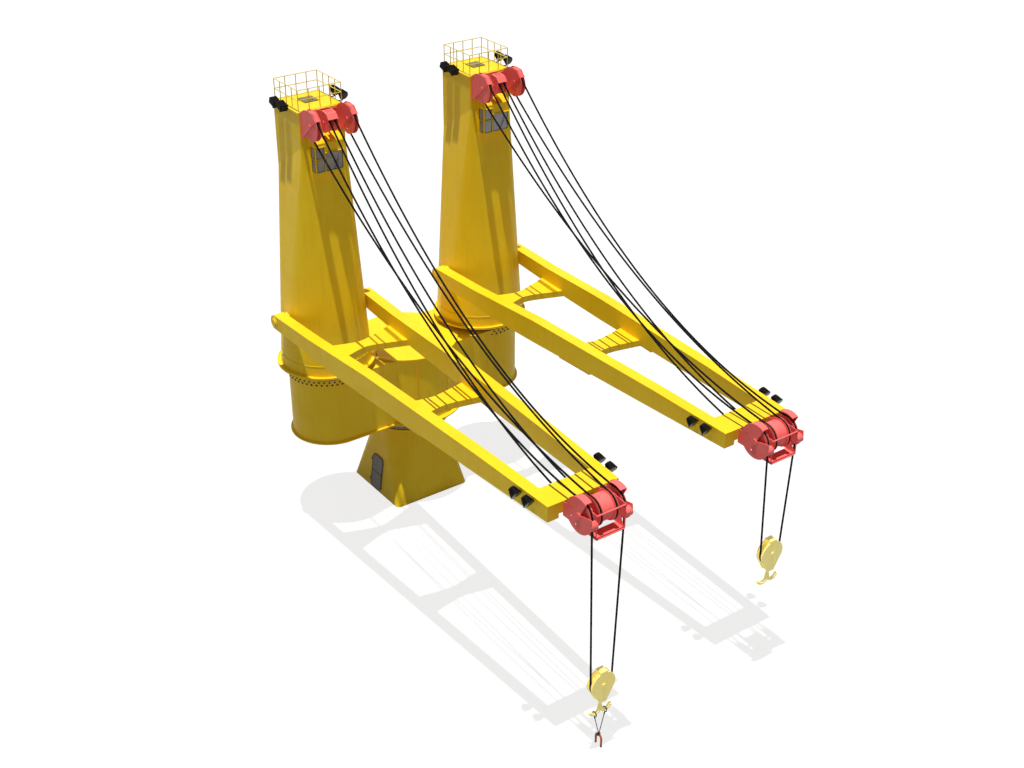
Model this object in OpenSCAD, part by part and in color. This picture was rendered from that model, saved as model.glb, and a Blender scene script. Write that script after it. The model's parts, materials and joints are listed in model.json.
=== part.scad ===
/* [Layout] */
// Distance between the slewing axes of the two cranes
crane_spacing = 10040; // [9900:20:10400]
// Height of the boom's foot pins above the pedestal's base
pin_z = 12570; // [12400:10:12800]
// Running clearance between a shaft and its bore, on the radius
fit_gap = 0.05; // [0.02:0.01:0.08]
// Gap between faces that slide on each other
seat_gap = 0.3; // [0.2:0.05:0.5]

/* [Pedestal] */
// Length of the square foot, fore and aft
foot_l = 4840; // [4600:10:5000]
// Width of the square foot
foot_w = 4780; // [4600:10:5000]
// Corner radius of the foot
foot_corner_r = 260; // [100:10:400]
// Height of the top of the pedestal
pedestal_top_z = 4600; // [4400:10:4700]
// Radius of the pedestal's round neck
neck_r = 1750; // [1700:10:1850]
// Radius of the flange on the neck
pedestal_flange_r = 2350; // [2300:10:2500]
// Thickness of that flange
pedestal_flange_t = 110; // [80:5:140]
// Thickness of the plate under the pedestal
foot_plate_t = 40; // [30:5:60]
// Wall of the pedestal
pedestal_wall = 60; // [40:5:80]
// Width of the access door
door_w = 1100; // [900:10:1150]
// Height of the access door
door_h = 2150; // [1900:10:2200]
// Thickness of the access door
door_t = 60; // [40:5:70]
// Radius of the door's hinge pins
door_pin_r = 22; // [18:1:26]

/* [Platform] */
// Level of the platform's underside
platform_z = 5350; // [5250:10:5450]
// Radius of the pot under each crane
pot_r = 2080; // [2040:10:2120]
// Level of the pots' top
pot_top_z = 9280; // [9200:10:9300]
// Radius of the flange round the foot of each pot
pot_flange_r = 2210; // [2160:10:2300]
// Radius of the central drum
hub_r = 2850; // [2750:10:2900]
// Radius of the drum's top plate
hub_top_r = 2920; // [2910:10:3000]
// Radius of the flange round the foot of the drum
hub_flange_r = 3150; // [3000:10:3200]
// Level of the drum's top
hub_top_z = 9400; // [9000:10:9600]
// Thickness of the platform's plates
plate_t = 70; // [50:5:90]
// Room between each collar and the drum beside it
collar_room = 110; // [80:10:200]

/* [Slewing gear] */
// Tooth module of the slewing gears
gear_module = 48; // [46:1:49]
// Teeth inside each slewing ring
ring_teeth = 72; // [70:2:74]
// Teeth on each slewing pinion
pinion_teeth = 12; // [12:1:12]
// Play between meshing teeth, measured round the pitch circle
backlash = 6; // [5:1:10]
// Outer radius of the cranes' slewing rings
ring_r = 2140; // [2120:10:2180]
// Height of the cranes' slewing rings
ring_h = 330; // [300:10:360]
// Bolts in each row round a slewing ring
ring_bolts = 40; // [24:2:48]
// Radius of the ring bolts' heads
bolt_r = 38; // [25:1:45]

/* [Tower] */
// Radius of the collar at the tower's foot
collar_r = 2640; // [2600:10:2850]
// Thickness of the collar
collar_t = 80; // [70:5:100]
// Radius of the tower at its foot
base_r = 2430; // [2410:10:2480]
// Level at which the tower stops being round
round_z = 10300; // [10000:10:10600]
// Radius of the tower at that level
round_r = 2400; // [2350:10:2405]
// Distance from the tower's axis to its front face at the top
head_front = 1150; // [1100:10:1180]
// Distance from the tower's axis to its back face at the top
head_back = 1450; // [1400:10:1550]
// Half the width of the tower at the top
head_half_w = 1250; // [1200:10:1300]
// Level above which the front corners are upright
front_corner_z = 22100; // [21900:10:22200]
// Level above which the back corners are upright
back_corner_z = 20500; // [20200:10:20900]
// Level of the deck on top of the tower
deck_z = 23900; // [23850:10:24000]
// Thickness of the deck plate
deck_t = 80; // [60:5:100]
// Overhang of the deck plate
deck_lip = 50; // [30:5:80]
// Wall of the tower
tower_wall = 40; // [30:5:60]
// Radius of the foot pins
foot_pin_r = 150; // [120:5:170]

/* [Cab] */
// Distance from the tower's axis to the cab's front
cab_front = 1750; // [1700:10:1900]
// Half the width of the cab
cab_half_w = 810; // [790:10:850]
// Level of the cab's underside
cab_bottom_z = 20750; // [20700:10:20800]
// Level of the top of the cab's front wall
cab_front_top_z = 22350; // [22300:10:22380]
// Wall of the cab
cab_wall = 45; // [30:5:60]
// Thickness of the window panes
pane_t = 14; // [8:1:20]

/* [Deck fittings] */
// Length of each side of the railing
rail_size = 2400; // [2300:10:2440]
// Height of the railing above the deck
rail_h = 1100; // [1000:10:1150]
// Radius of the rail tubes
rail_r = 22; // [18:1:30]
// Length of each side of the deck hatch
hatch_size = 780; // [700:10:850]
// Thickness of the hatch cover
hatch_t = 50; // [40:5:60]
// Radius of the hatch's hinge pins
hatch_pin_r = 16; // [12:1:18]
// Radius of the floodlights
lamp_r = 200; // [170:5:220]

/* [Mast head] */
// Distance from the tower's axis to the hoist sheaves' axle
mast_hoist_x = 2100; // [2060:10:2120]
// Level of the hoist sheaves' axle
mast_hoist_z = 23480; // [23460:10:23500]
// Radius of the hoist sheaves
mast_hoist_r = 540; // [500:5:550]
// Distance of the hoist sheaves from the middle plane
mast_hoist_y = 1020; // [1000:5:1040]
// Distance from the tower's axis to the luffing sheaves' axle
mast_luff_x = 1800; // [1780:10:1820]
// Level of the luffing sheaves' axle
mast_luff_z = 23400; // [23380:10:23420]
// Radius of the luffing sheaves
mast_luff_r = 440; // [410:5:450]
// Distance of the luffing sheaves from the middle plane
mast_luff_y = 150; // [140:5:155]
// Thickness of the side plates
cheek_t = 30; // [20:2:36]
// Radius of the round guards beside the hoist sheaves
guard_r = 710; // [680:5:720]

/* [Boom] */
// Distance from the foot pins to the boom's front face
boom_l = 22310; // [20500:10:24000]
// Width of each leg
leg_w = 600; // [560:10:640]
// Depth of each leg at both ends
leg_h = 780; // [740:10:800]
// Half the width over both legs at the foot
foot_half_w = 2910; // [2900:10:2960]
// Half the width over both legs at the head
head_leg_half_w = 1910; // [1850:10:2000]
// Rise of the legs' top edge at its highest point
leg_crown = 180; // [60:10:240]
// Drop of the legs' bottom edge at its lowest point
leg_belly = 260; // [100:10:300]
// Plate of the box legs
leg_wall = 30; // [20:2:40]
// Length of the beam that joins the legs at the head
end_beam_l = 1350; // [1200:10:1450]
// Depth of that beam
end_beam_h = 560; // [500:10:570]
// Depth of the two ties between the legs
tie_h = 340; // [280:10:380]
// Depth of the pads on which the stowed boom lies
pad_h = 310; // [200:10:340]
// Radius of the boss round each foot pin
boss_r = 300; // [270:5:320]

/* [Boom head] */
// Distance from the boom's front face to the head axle
head_axle_out = 1060; // [1040:10:1120]
// Height of the head axle above the foot pins
head_axle_up = 230; // [200:5:260]
// Radius of the side discs
side_disc_r = 860; // [840:5:880]
// Distance of the side discs' outer faces from the middle plane
side_disc_y = 1100; // [1090:5:1130]
// Radius of the hoist sheaves
head_hoist_r = 650; // [630:5:660]
// Distance of the hoist sheaves from the middle plane
head_hoist_y = 880; // [870:5:890]
// Radius of the luffing sheaves
head_luff_r = 700; // [670:5:710]
// Distance of the luffing sheaves from the middle plane
head_luff_y = 420; // [400:5:430]
// Radius of the head axle
head_pin_r = 90; // [75:5:105]
// Radius of the cross tube in front of the sheaves
cross_tube_r = 230; // [200:5:240]

/* [Ropes] */
// Diameter of the ropes
rope_d = 100; // [80:2:104]
// Sag of the hoist ropes between the tower and the boom head
hoist_sag = 2350; // [2200:10:2400]
// Sag of the upper luffing ropes
luff_top_sag = 1700; // [1600:10:1800]
// Sag of the lower luffing ropes
luff_low_sag = 2250; // [2150:10:2350]

/* [Hook block] */
// Level of the axle of the near crane's hook block
near_block_z = 3740; // [3700:10:4200]
// Level of the axle of the far crane's hook block
far_block_z = 6650; // [6000:10:6900]
// Radius of the block's sheave
block_sheave_r = 640; // [620:5:660]
// Radius of the block's axle
block_pin_r = 70; // [60:5:80]
// Width over the block's cheeks
block_t = 400; // [380:5:440]
// Thickness of the block's cheeks
block_cheek_t = 50; // [40:2:60]
// Radius of the hook's shank
shank_r = 75; // [65:5:85]

/* [Hidden] */

$fn = 64;
crane_yellow = [0.93, 0.80, 0.12];
head_red = [0.85, 0.36, 0.36];
hook_yellow = [0.95, 0.83, 0.42];
steel = [0.55, 0.56, 0.57];
black = [0.08, 0.08, 0.09];
glass = [0.35, 0.38, 0.40];
door_grey = [0.40, 0.39, 0.37];
copper = [0.66, 0.34, 0.20];

// Levels from the pots up to the tower's floor
ring_top_z = pot_top_z + ring_h;
floor_z = ring_top_z + seat_gap;
collar_top_z = floor_z + collar_t;
room_r = collar_r + collar_room;

// Slewing gears
pitch_r = gear_module * ring_teeth / 2;
pinion_pitch_r = gear_module * pinion_teeth / 2;
pinion_x = pitch_r - pinion_pitch_r;
pinion_h = 200;
shaft_r = 85;
shaft_reach = 290;
main_ring_h = platform_z - pedestal_top_z - seat_gap;

// Tower head
head_top_z = deck_z - deck_t;
front_slope = (round_r - head_front) / (front_corner_z - round_z);
function front_x(z) = head_front + max(0, front_corner_z - z) * front_slope;
hatch_x = -350;
hatch_y = 100;
rail_x = -140;

// Boom
leg_turn = atan((foot_half_w - head_leg_half_w) / boom_l);
leg_in_y = foot_half_w - leg_w;
boss_y = leg_in_y - 20;
cap_y = foot_half_w + 20;
boom_top = leg_h / 2;
function leg_mid_y(x) = foot_half_w - leg_w / 2 - x * tan(leg_turn);
// Each tie's place, its half length at the legs and its half length at the middle
ties = [[4080, 975, 345], [11200, 880, 500]];
tie_top = -leg_h / 2 - 130;
pad_from = 10630;
pad_to = 12960;

// Sheaves: width, depth of the groove, and the radius that a rope's centre line follows
sheave_w = 170;
rope_r = rope_d / 2;
groove_r = rope_r + 8;
groove_depth = 95;
axle_r = 60;
// A rope lies this far off its groove, so that its flats clear the round
rope_gap = 0.9;
function rope_line(r) = r - groove_depth + rope_r + rope_gap;
head_x = boom_l + head_axle_out;
head_z = pin_z + head_axle_up;
fall_x = head_x + rope_line(head_hoist_r);

module near() { translate([0, -crane_spacing / 2, 0]) children(); }
module far() { translate([0, crane_spacing / 2, 0]) children(); }
module both_sides() {
  children();
  mirror([0, 1, 0]) children();
}
module rod_y(r, len) { rotate([90, 0, 0]) cylinder(r = r, h = len, center = true); }
module rod_x(r, len) { rotate([0, 90, 0]) cylinder(r = r, h = len, center = true); }
// A plate whose outline lies in the XZ plane, from y0 to y1
module plate_xz(y0, y1) {
  translate([0, y1, 0]) rotate([90, 0, 0]) linear_extrude(y1 - y0) children();
}
module round_rect(w, h, r) {
  square([w - 2 * r, h], center = true);
  square([w, h - 2 * r], center = true);
  for (sx = [-1, 1], sy = [-1, 1]) translate([sx * (w / 2 - r), sy * (h / 2 - r)]) circle(r = r);
}

// Pedestal: square at the foot, round at the neck
neck_z = pedestal_top_z - pedestal_flange_t;
door_slope = atan((foot_w / 2 - neck_r) / neck_z);
door_mid = door_h / 2 + 90;
door_hinge = [-door_w / 2 - 60, -door_t / 2 - 20];
door_knuckles = [door_mid - 650, door_mid + 650];
knuckle_h = 160;
module pedestal_body(inset) {
  hull() {
    for (sx = [-1, 1], sy = [-1, 1])
      translate([sx * (foot_l / 2 - foot_corner_r), sy * (foot_w / 2 - foot_corner_r), 0])
        cylinder(r = foot_corner_r - inset, h = 1, $fn = 32);
    translate([0, 0, neck_z - 1]) cylinder(r = neck_r - inset, h = 1);
  }
}
module pedestal_room() {
  difference() {
    translate([0, 0, -1]) pedestal_body(pedestal_wall);
    translate([0, 0, -1]) linear_extrude(foot_plate_t + 1) square(foot_l, center = true);
  }
}
// The near wall's own frame: X along the wall, Y into it, Z up the slope
module on_near_wall() { translate([0, -foot_w / 2, 0]) rotate([-door_slope, 0, 0]) children(); }
module on_door_hinge(z) { translate([door_hinge[0], door_hinge[1], z]) children(); }

module pedestal() {
  color(crane_yellow) {
    difference() {
      pedestal_body(0);
      pedestal_room();
      on_near_wall() translate([0, 250, door_mid]) rotate([90, 0, 0]) linear_extrude(500)
        round_rect(door_w - 140, door_h - 140, 220);
    }
    translate([0, 0, neck_z]) difference() {
      cylinder(r = pedestal_flange_r, h = pedestal_flange_t);
      translate([0, 0, -1]) cylinder(r = neck_r - 200, h = pedestal_flange_t + 2);
    }
    // Door hinges: a lug above and below each knuckle, and the pin through them
    on_near_wall() for (z = door_knuckles) {
      for (s = [-1, 1]) on_door_hinge(z + s * (knuckle_h / 2 + 21)) {
        translate([-30, -10, -20]) cube([50, 72, 40]);
        cylinder(r = 40, h = 40, center = true);
      }
      on_door_hinge(z) cylinder(r = door_pin_r, h = knuckle_h + 60, center = true);
    }
  }
}

module pedestal_door() {
  color(door_grey) on_near_wall() difference() {
    union() {
      translate([0, -seat_gap, door_mid]) rotate([90, 0, 0]) linear_extrude(door_t)
        round_rect(door_w, door_h, 280);
      for (z = door_knuckles) on_door_hinge(z) {
        cylinder(r = 40, h = knuckle_h, center = true);
        translate([0, -20, -knuckle_h / 2]) cube([100, 40, knuckle_h]);
      }
      translate([door_w / 2 - 110, -door_t - 30, door_mid]) rod_x(16, 150);
      translate([door_w / 2 - 60, -door_t / 2 - 20, door_mid]) rotate([90, 0, 0]) cylinder(r = 24, h = 60, center = true);
    }
    for (z = door_knuckles) on_door_hinge(z) cylinder(r = door_pin_r + fit_gap, h = knuckle_h + 10, center = true);
  }
}

// Involute tooth outlines: the polar half angle of a tooth at radius r on a wheel of pitch radius p
pressure = 25;
function involute(a) = tan(a) * 180 / PI - a;
function flank(p, r, half) = let (b = p * cos(pressure))
  half + involute(pressure) - (r > b ? involute(acos(b / r)) : 0);
function tooth_side(p, radii, half, s) = [for (r = radii) [r, s * flank(p, r, half)]];
function polar(v, turn) = [v[0] * cos(v[1] + turn), v[0] * sin(v[1] + turn)];
function steps(a, b, n) = [for (i = [0:n]) a + (b - a) * i / n];
function reversed(v) = [for (i = [len(v) - 1:-1:0]) v[i]];
// A wheel whose teeth run from radius lo to radius hi
module toothed(p, teeth, lo, hi, half) {
  radii = steps(lo, hi, 4);
  outline = [for (i = [0:teeth - 1]) let (turn = i * 360 / teeth)
    each [for (v = concat(tooth_side(p, radii, half, -1), reversed(tooth_side(p, radii, half, 1)))) polar(v, turn)]];
  polygon(outline);
}
function half_tooth(p, teeth, play) = 90 / teeth - play / 4 * 180 / (PI * p);
module pinion_outline() {
  half = half_tooth(pinion_pitch_r, pinion_teeth, backlash);
  rotate([0, 0, 180 / pinion_teeth])
    toothed(pinion_pitch_r, pinion_teeth, pinion_pitch_r - 1.15 * gear_module,
      pinion_pitch_r + 0.8 * gear_module, half);
}
module ring_gear(outer_r, h) {
  half = half_tooth(pitch_r, ring_teeth, -backlash);
  linear_extrude(h) difference() {
    circle(r = outer_r);
    rotate([0, 0, 180 / ring_teeth])
      toothed(pitch_r, ring_teeth, pitch_r - 0.6 * gear_module, pitch_r + 1.1 * gear_module, half);
  }
}
module pinion_with_shaft(z, top_z) {
  translate([-pinion_x, 0, z]) {
    linear_extrude(pinion_h) pinion_outline();
    cylinder(r = shaft_r, h = top_z - z);
  }
}
// Gearbox and motor that stand on a plate at z, over the pinion
module slewing_drive(z) {
  translate([-pinion_x, 0, z]) difference() {
    union() {
      cylinder(r = 310, h = 50);
      cylinder(r = 240, h = 520);
      translate([0, 0, 520]) cylinder(r = 180, h = 60);
      translate([0, 0, 580]) cylinder(r = 150, h = 360);
      translate([0, 0, 940]) cylinder(r = 110, h = 60);
    }
    translate([0, 0, -1]) cylinder(r = shaft_r + fit_gap, h = shaft_reach + 11);
  }
}

module platform_bearing() {
  color(steel) translate([0, 0, pedestal_top_z]) ring_gear(pedestal_flange_r - 60, main_ring_h);
}
module platform_motor() { color(steel) slewing_drive(platform_z + plate_t); }
module platform_pinion() {
  color(steel) pinion_with_shaft(platform_z - 60 - pinion_h, platform_z + plate_t + shaft_reach);
}

// Plan of the platform: a pot under each crane, the box between them and the drum
module platform_plan(pot, box, hub) {
  for (s = [-1, 1]) translate([0, s * crane_spacing / 2]) circle(r = pot);
  square([2 * box, crane_spacing], center = true);
  circle(r = hub);
}
module hub_plan(r, room) {
  difference() {
    circle(r = r);
    for (s = [-1, 1]) translate([0, s * crane_spacing / 2]) circle(r = room);
  }
}
module platform() {
  hub_wall = 60;
  color(crane_yellow) difference() {
    union() {
      translate([0, 0, platform_z]) linear_extrude(plate_t) platform_plan(pot_flange_r, pot_flange_r, hub_flange_r);
      translate([0, 0, platform_z]) linear_extrude(pot_top_z - platform_z) platform_plan(pot_r, pot_r, hub_r);
      for (s = [-1, 1]) translate([0, s * crane_spacing / 2, pot_top_z - plate_t]) cylinder(r = ring_r, h = plate_t);
      translate([0, 0, platform_z]) linear_extrude(hub_top_z - platform_z) hub_plan(hub_r, room_r);
      translate([0, 0, hub_top_z - plate_t]) linear_extrude(plate_t) hub_plan(hub_top_r, room_r);
      // Stiffeners on the drum's wall
      for (a = [-20, 20, 160, 200]) rotate([0, 0, a])
        translate([hub_r - 20, -20, platform_z + plate_t]) cube([90, 40, hub_top_z - platform_z - 2 * plate_t - 300]);
    }
    // Room inside the drum and the pots
    translate([0, 0, platform_z + plate_t]) cylinder(r = hub_r - 700, h = pot_top_z - platform_z - 2 * plate_t);
    translate([0, 0, pot_top_z - 1]) linear_extrude(hub_top_z - plate_t - pot_top_z)
      hub_plan(hub_r - hub_wall, room_r + hub_wall);
    for (s = [-1, 1]) translate([0, s * crane_spacing / 2, platform_z + plate_t]) {
      cylinder(r = pot_r - hub_wall, h = pot_top_z - platform_z - 2 * plate_t);
      cylinder(r = pitch_r - 60, h = pot_top_z - platform_z);
    }
    translate([-pinion_x, 0, platform_z - 1]) cylinder(r = shaft_r + 6, h = plate_t + 2);
  }
}

// The ring gear on a pot, with its two rows of bolts
module slew_ring() {
  color(steel) translate([0, 0, pot_top_z]) ring_gear(ring_r, ring_h);
  color(black) for (i = [0:ring_bolts - 1], z = [pot_top_z + 70, ring_top_z - 90])
    rotate([0, 0, i * 360 / ring_bolts]) translate([ring_r - 12, 0, z]) rotate([0, 90, 0])
      cylinder(r = bolt_r, h = 50, $fn = 6);
}

// Round at the bottom and square at the top
module tower_loft(inset) {
  back = inset - head_back + 1;
  front = head_front - inset - 1;
  w = head_half_w - inset - 1;
  hull() {
    polyhedron([[back, -w, back_corner_z], [back, w, back_corner_z], [front, w, front_corner_z],
      [front, -w, front_corner_z], [0, 0, round_z]], [[0, 1, 2, 3], [1, 0, 4], [2, 1, 4], [3, 2, 4], [0, 3, 4]]);
    translate([0, 0, round_z]) cylinder(r = round_r - inset - 3, h = 1);
  }
}
module tower_head(inset, z0, z1) {
  translate([inset - head_back, inset - head_half_w, z0])
    cube([head_back + head_front - 2 * inset, 2 * (head_half_w - inset), z1 - z0]);
}
// Winch drums: their place, their radius and their length between the bearers
hoist_drum_at = [600, collar_top_z + 850];
hoist_drum = [400, 1700];
luff_drum_at = [-500, collar_top_z + 2150];
luff_drum = [330, 1400];
drum_shaft_r = 75;
module bearer(at, len) {
  both_sides() translate([at[0], len / 2 + 60, at[1]]) {
    rod_y(190, 60);
    translate([-190, -30, collar_top_z - at[1] - 10]) cube([380, 60, at[1] - collar_top_z + 10]);
  }
}
module tower() {
  color(crane_yellow) difference() {
    union() {
      difference() {
        union() {
          tower_loft(0);
          tower_head(0, back_corner_z - 30, head_top_z);
          translate([-head_back - deck_lip, -head_half_w - deck_lip, head_top_z])
            cube([head_back + head_front + deck_lip, 2 * (head_half_w + deck_lip), deck_t]);
          translate([0, 0, collar_top_z - 1]) cylinder(r1 = base_r, r2 = round_r, h = round_z - collar_top_z + 2);
          translate([0, 0, floor_z]) cylinder(r = collar_r, h = collar_t);
          translate([0, 0, collar_top_z]) difference() {
            cylinder(r = collar_r, h = 30);
            translate([0, 0, -1]) cylinder(r = collar_r - 50, h = 40);
          }
          translate([0, 0, pin_z]) both_sides() translate([0, -boss_y, 0]) rotate([-90, 0, 0])
            cylinder(r1 = boss_r, r2 = boss_r + 150, h = 700);
        }
        tower_loft(tower_wall);
        tower_head(tower_wall, back_corner_z - 30, head_top_z);
        translate([0, 0, collar_top_z])
          cylinder(r1 = base_r - tower_wall, r2 = round_r - tower_wall, h = round_z - collar_top_z + 2);
      }
      bearer(hoist_drum_at, hoist_drum[1]);
      bearer(luff_drum_at, luff_drum[1]);
      // Hatch hinges on the deck
      for (s = [-1, 1], k = [-1, 1])
        translate([hatch_x - hatch_size / 2 - 30, hatch_y + s * 250 + k * 65, deck_z + hatch_t / 2]) {
          rod_y(30, 30);
          translate([-30, -15, -hatch_t / 2 - 5]) cube([60, 30, hatch_t / 2 + 5]);
        }
      for (s = [-1, 1]) translate([hatch_x - hatch_size / 2 - 30, hatch_y + s * 250, deck_z + hatch_t / 2])
        rod_y(hatch_pin_r, 150);
    }
    translate([0, 0, pin_z]) rod_y(foot_pin_r, 2 * foot_half_w);
    for (d = [hoist_drum_at, luff_drum_at]) translate([d[0], 0, d[1]]) rod_y(drum_shaft_r + fit_gap, 2200);
    translate([-pinion_x, 0, floor_z - 1]) cylinder(r = shaft_r + 6, h = collar_t + 2);
    // Manhole in the deck and the doorway into the cab
    translate([hatch_x - hatch_size / 2 + 70, hatch_y - hatch_size / 2 + 70, head_top_z - 100])
      cube([hatch_size - 140, hatch_size - 140, 300]);
    translate([head_front - 300, 150 - cab_half_w, cab_bottom_z + 120])
      cube([900, 2 * cab_half_w - 300, cab_front_top_z - cab_bottom_z - 240]);
  }
}
module slew_motor() { color(steel) slewing_drive(collar_top_z); }
module slew_pinion() { color(steel) pinion_with_shaft(pot_top_z + 60, collar_top_z + shaft_reach); }

module winch_drum(at, size) {
  color(steel) translate([at[0], 0, at[1]]) {
    rod_y(size[0], size[1] - 100);
    both_sides() translate([0, size[1] / 2 - 40, 0]) rod_y(size[0] + 150, 40);
    rod_y(drum_shaft_r, size[1] + 260);
  }
}

// The cab's side outline, drawn in by inset
module cab_outline(inset) {
  b = cab_bottom_z + inset;
  t = cab_front_top_z - inset;
  f = cab_front - inset;
  polygon([[front_x(b) + seat_gap, b], [f, b], [f, t], [f - 110, t + 110], [f - 280, t + 200],
    [head_front + seat_gap, t + 300], [head_front + seat_gap, front_corner_z]]);
}
// Windows as [from, to, bottom, top]: across the front, then along each side
front_windows = [[-220, 700, 20900, 21800], [-730, -320, 20900, 21500], [-730, -320, 21580, 22130]];
side_windows = [[1380, 1660, 20900, 21500], [1330, 1660, 21580, 22130]];
module window_blocks(less, t) {
  for (w = front_windows) translate([cab_front - (cab_wall + t) / 2, w[0] + less, w[2] + less])
    cube([t, w[1] - w[0] - 2 * less, w[3] - w[2] - 2 * less]);
  both_sides() for (w = side_windows) translate([w[0] + less, cab_half_w - (cab_wall + t) / 2, w[2] + less])
    cube([w[1] - w[0] - 2 * less, t, w[3] - w[2] - 2 * less]);
}
module cab() {
  color(crane_yellow) difference() {
    union() {
      plate_xz(-cab_half_w, cab_half_w) cab_outline(0);
      // Eyebrow over the large window
      translate([cab_front - 5, -300, 21840]) cube([75, 1080, 25]);
      translate([cab_front - 5, -780, 22160]) cube([55, 520, 25]);
    }
    difference() {
      plate_xz(cab_wall - cab_half_w, cab_half_w - cab_wall) cab_outline(cab_wall);
      translate([0, -2000, 0]) cube([head_front + 1, 4000, 30000]);
    }
    translate([head_front - 100, 150 - cab_half_w, cab_bottom_z + 120])
      cube([250, 2 * cab_half_w - 300, cab_front_top_z - cab_bottom_z - 240]);
    window_blocks(0, 3 * cab_wall);
  }
}
module cab_windows() { color(glass) window_blocks(0, pane_t); }

module railing() {
  half = rail_size / 2;
  top = rail_h - rail_r;
  color([0.9, 0.84, 0.4]) translate([rail_x, 0, deck_z]) {
    for (z = [top, rail_h * 0.52], s = [-1, 1]) {
      translate([0, s * half, z]) rod_x(rail_r, rail_size);
      translate([s * half, 0, z]) rod_y(rail_r, rail_size);
    }
    for (sx = [-1, 1], sy = [-1, 1], z = [top, rail_h * 0.52]) translate([sx * half, sy * half, z]) sphere(r = rail_r);
    for (i = [-2:2], s = [-1, 1]) {
      translate([i * half / 2, s * half, 0]) cylinder(r = rail_r, h = top);
      if (abs(i) < 2) translate([s * half, i * half / 2, 0]) cylinder(r = rail_r, h = top);
    }
  }
}

module hatch() {
  pin_x = hatch_x - hatch_size / 2 - 30;
  color([0.45, 0.47, 0.40]) difference() {
    union() {
      translate([hatch_x - hatch_size / 2 + 5, hatch_y - hatch_size / 2, deck_z + seat_gap])
        cube([hatch_size - 5, hatch_size, hatch_t]);
      for (s = [-1, 1]) translate([pin_x, hatch_y + s * 250, deck_z + hatch_t / 2]) {
        rod_y(hatch_t / 2 - 2, 98);
        translate([0, -49, -12]) cube([60, 98, 24]);
      }
      translate([hatch_x + hatch_size / 2 - 120, hatch_y, deck_z + hatch_t + 50]) rod_y(14, 228);
      for (s = [-1, 1]) translate([hatch_x + hatch_size / 2 - 120, hatch_y + s * 100, deck_z + hatch_t - 5])
        cylinder(r = 14, h = 55);
    }
    translate([pin_x, hatch_y, deck_z + hatch_t / 2]) rod_y(hatch_pin_r + fit_gap, 700);
  }
}

// A floodlight that looks along +X, its mouth at the origin
module floodlight(r, len) {
  rotate([0, -90, 0]) {
    cylinder(r = r, h = 45);
    translate([0, 0, 44]) cylinder(r1 = r * 0.92, r2 = r * 0.6, h = len - 44);
  }
}
module tower_lamps() {
  reach = head_half_w + deck_lip;
  color(black) {
    for (x = [-950, -230]) {
      translate([x + 420, -reach - 225, deck_z + 20]) rotate([0, 20, 0]) {
        translate([-480, -190, -150]) cube([440, 380, 300]);
        translate([-45, -215, -175]) cube([45, 430, 350]);
      }
      translate([x + 130, -reach - 225, deck_z - 60]) cube([90, 225, 30]);
    }
    for (x = [-250, 520]) {
      translate([x + 200, reach + 230, deck_z + 240]) rotate([0, 20, 0]) floodlight(lamp_r + 30, 400);
      translate([x - 40, reach, deck_z - 60]) cube([80, 260, 30]);
      translate([x - 40, reach + 230, deck_z - 60]) cube([80, 30, 300]);
    }
  }
}

// A grooved sheave on the Y axis, with a disc between its hub and its rim
module sheave_profile(r, bore) {
  rim = groove_depth + 45;
  difference() {
    union() {
      translate([bore, -sheave_w / 2]) square([80, sheave_w]);
      translate([bore, -24]) square([r - bore - rim + 20, 48]);
      translate([r - rim, -sheave_w / 2]) square([rim, sheave_w]);
    }
    translate([r - groove_depth + groove_r, 0]) circle(r = groove_r);
    polygon([[r - groove_depth + groove_r, -groove_r], [r + 5, -sheave_w / 2 + 12], [r + 5, sheave_w / 2 - 12],
      [r - groove_depth + groove_r, groove_r]]);
  }
}
module sheave(r, bore) { rotate([90, 0, 0]) rotate_extrude() sheave_profile(r, bore); }

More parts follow.
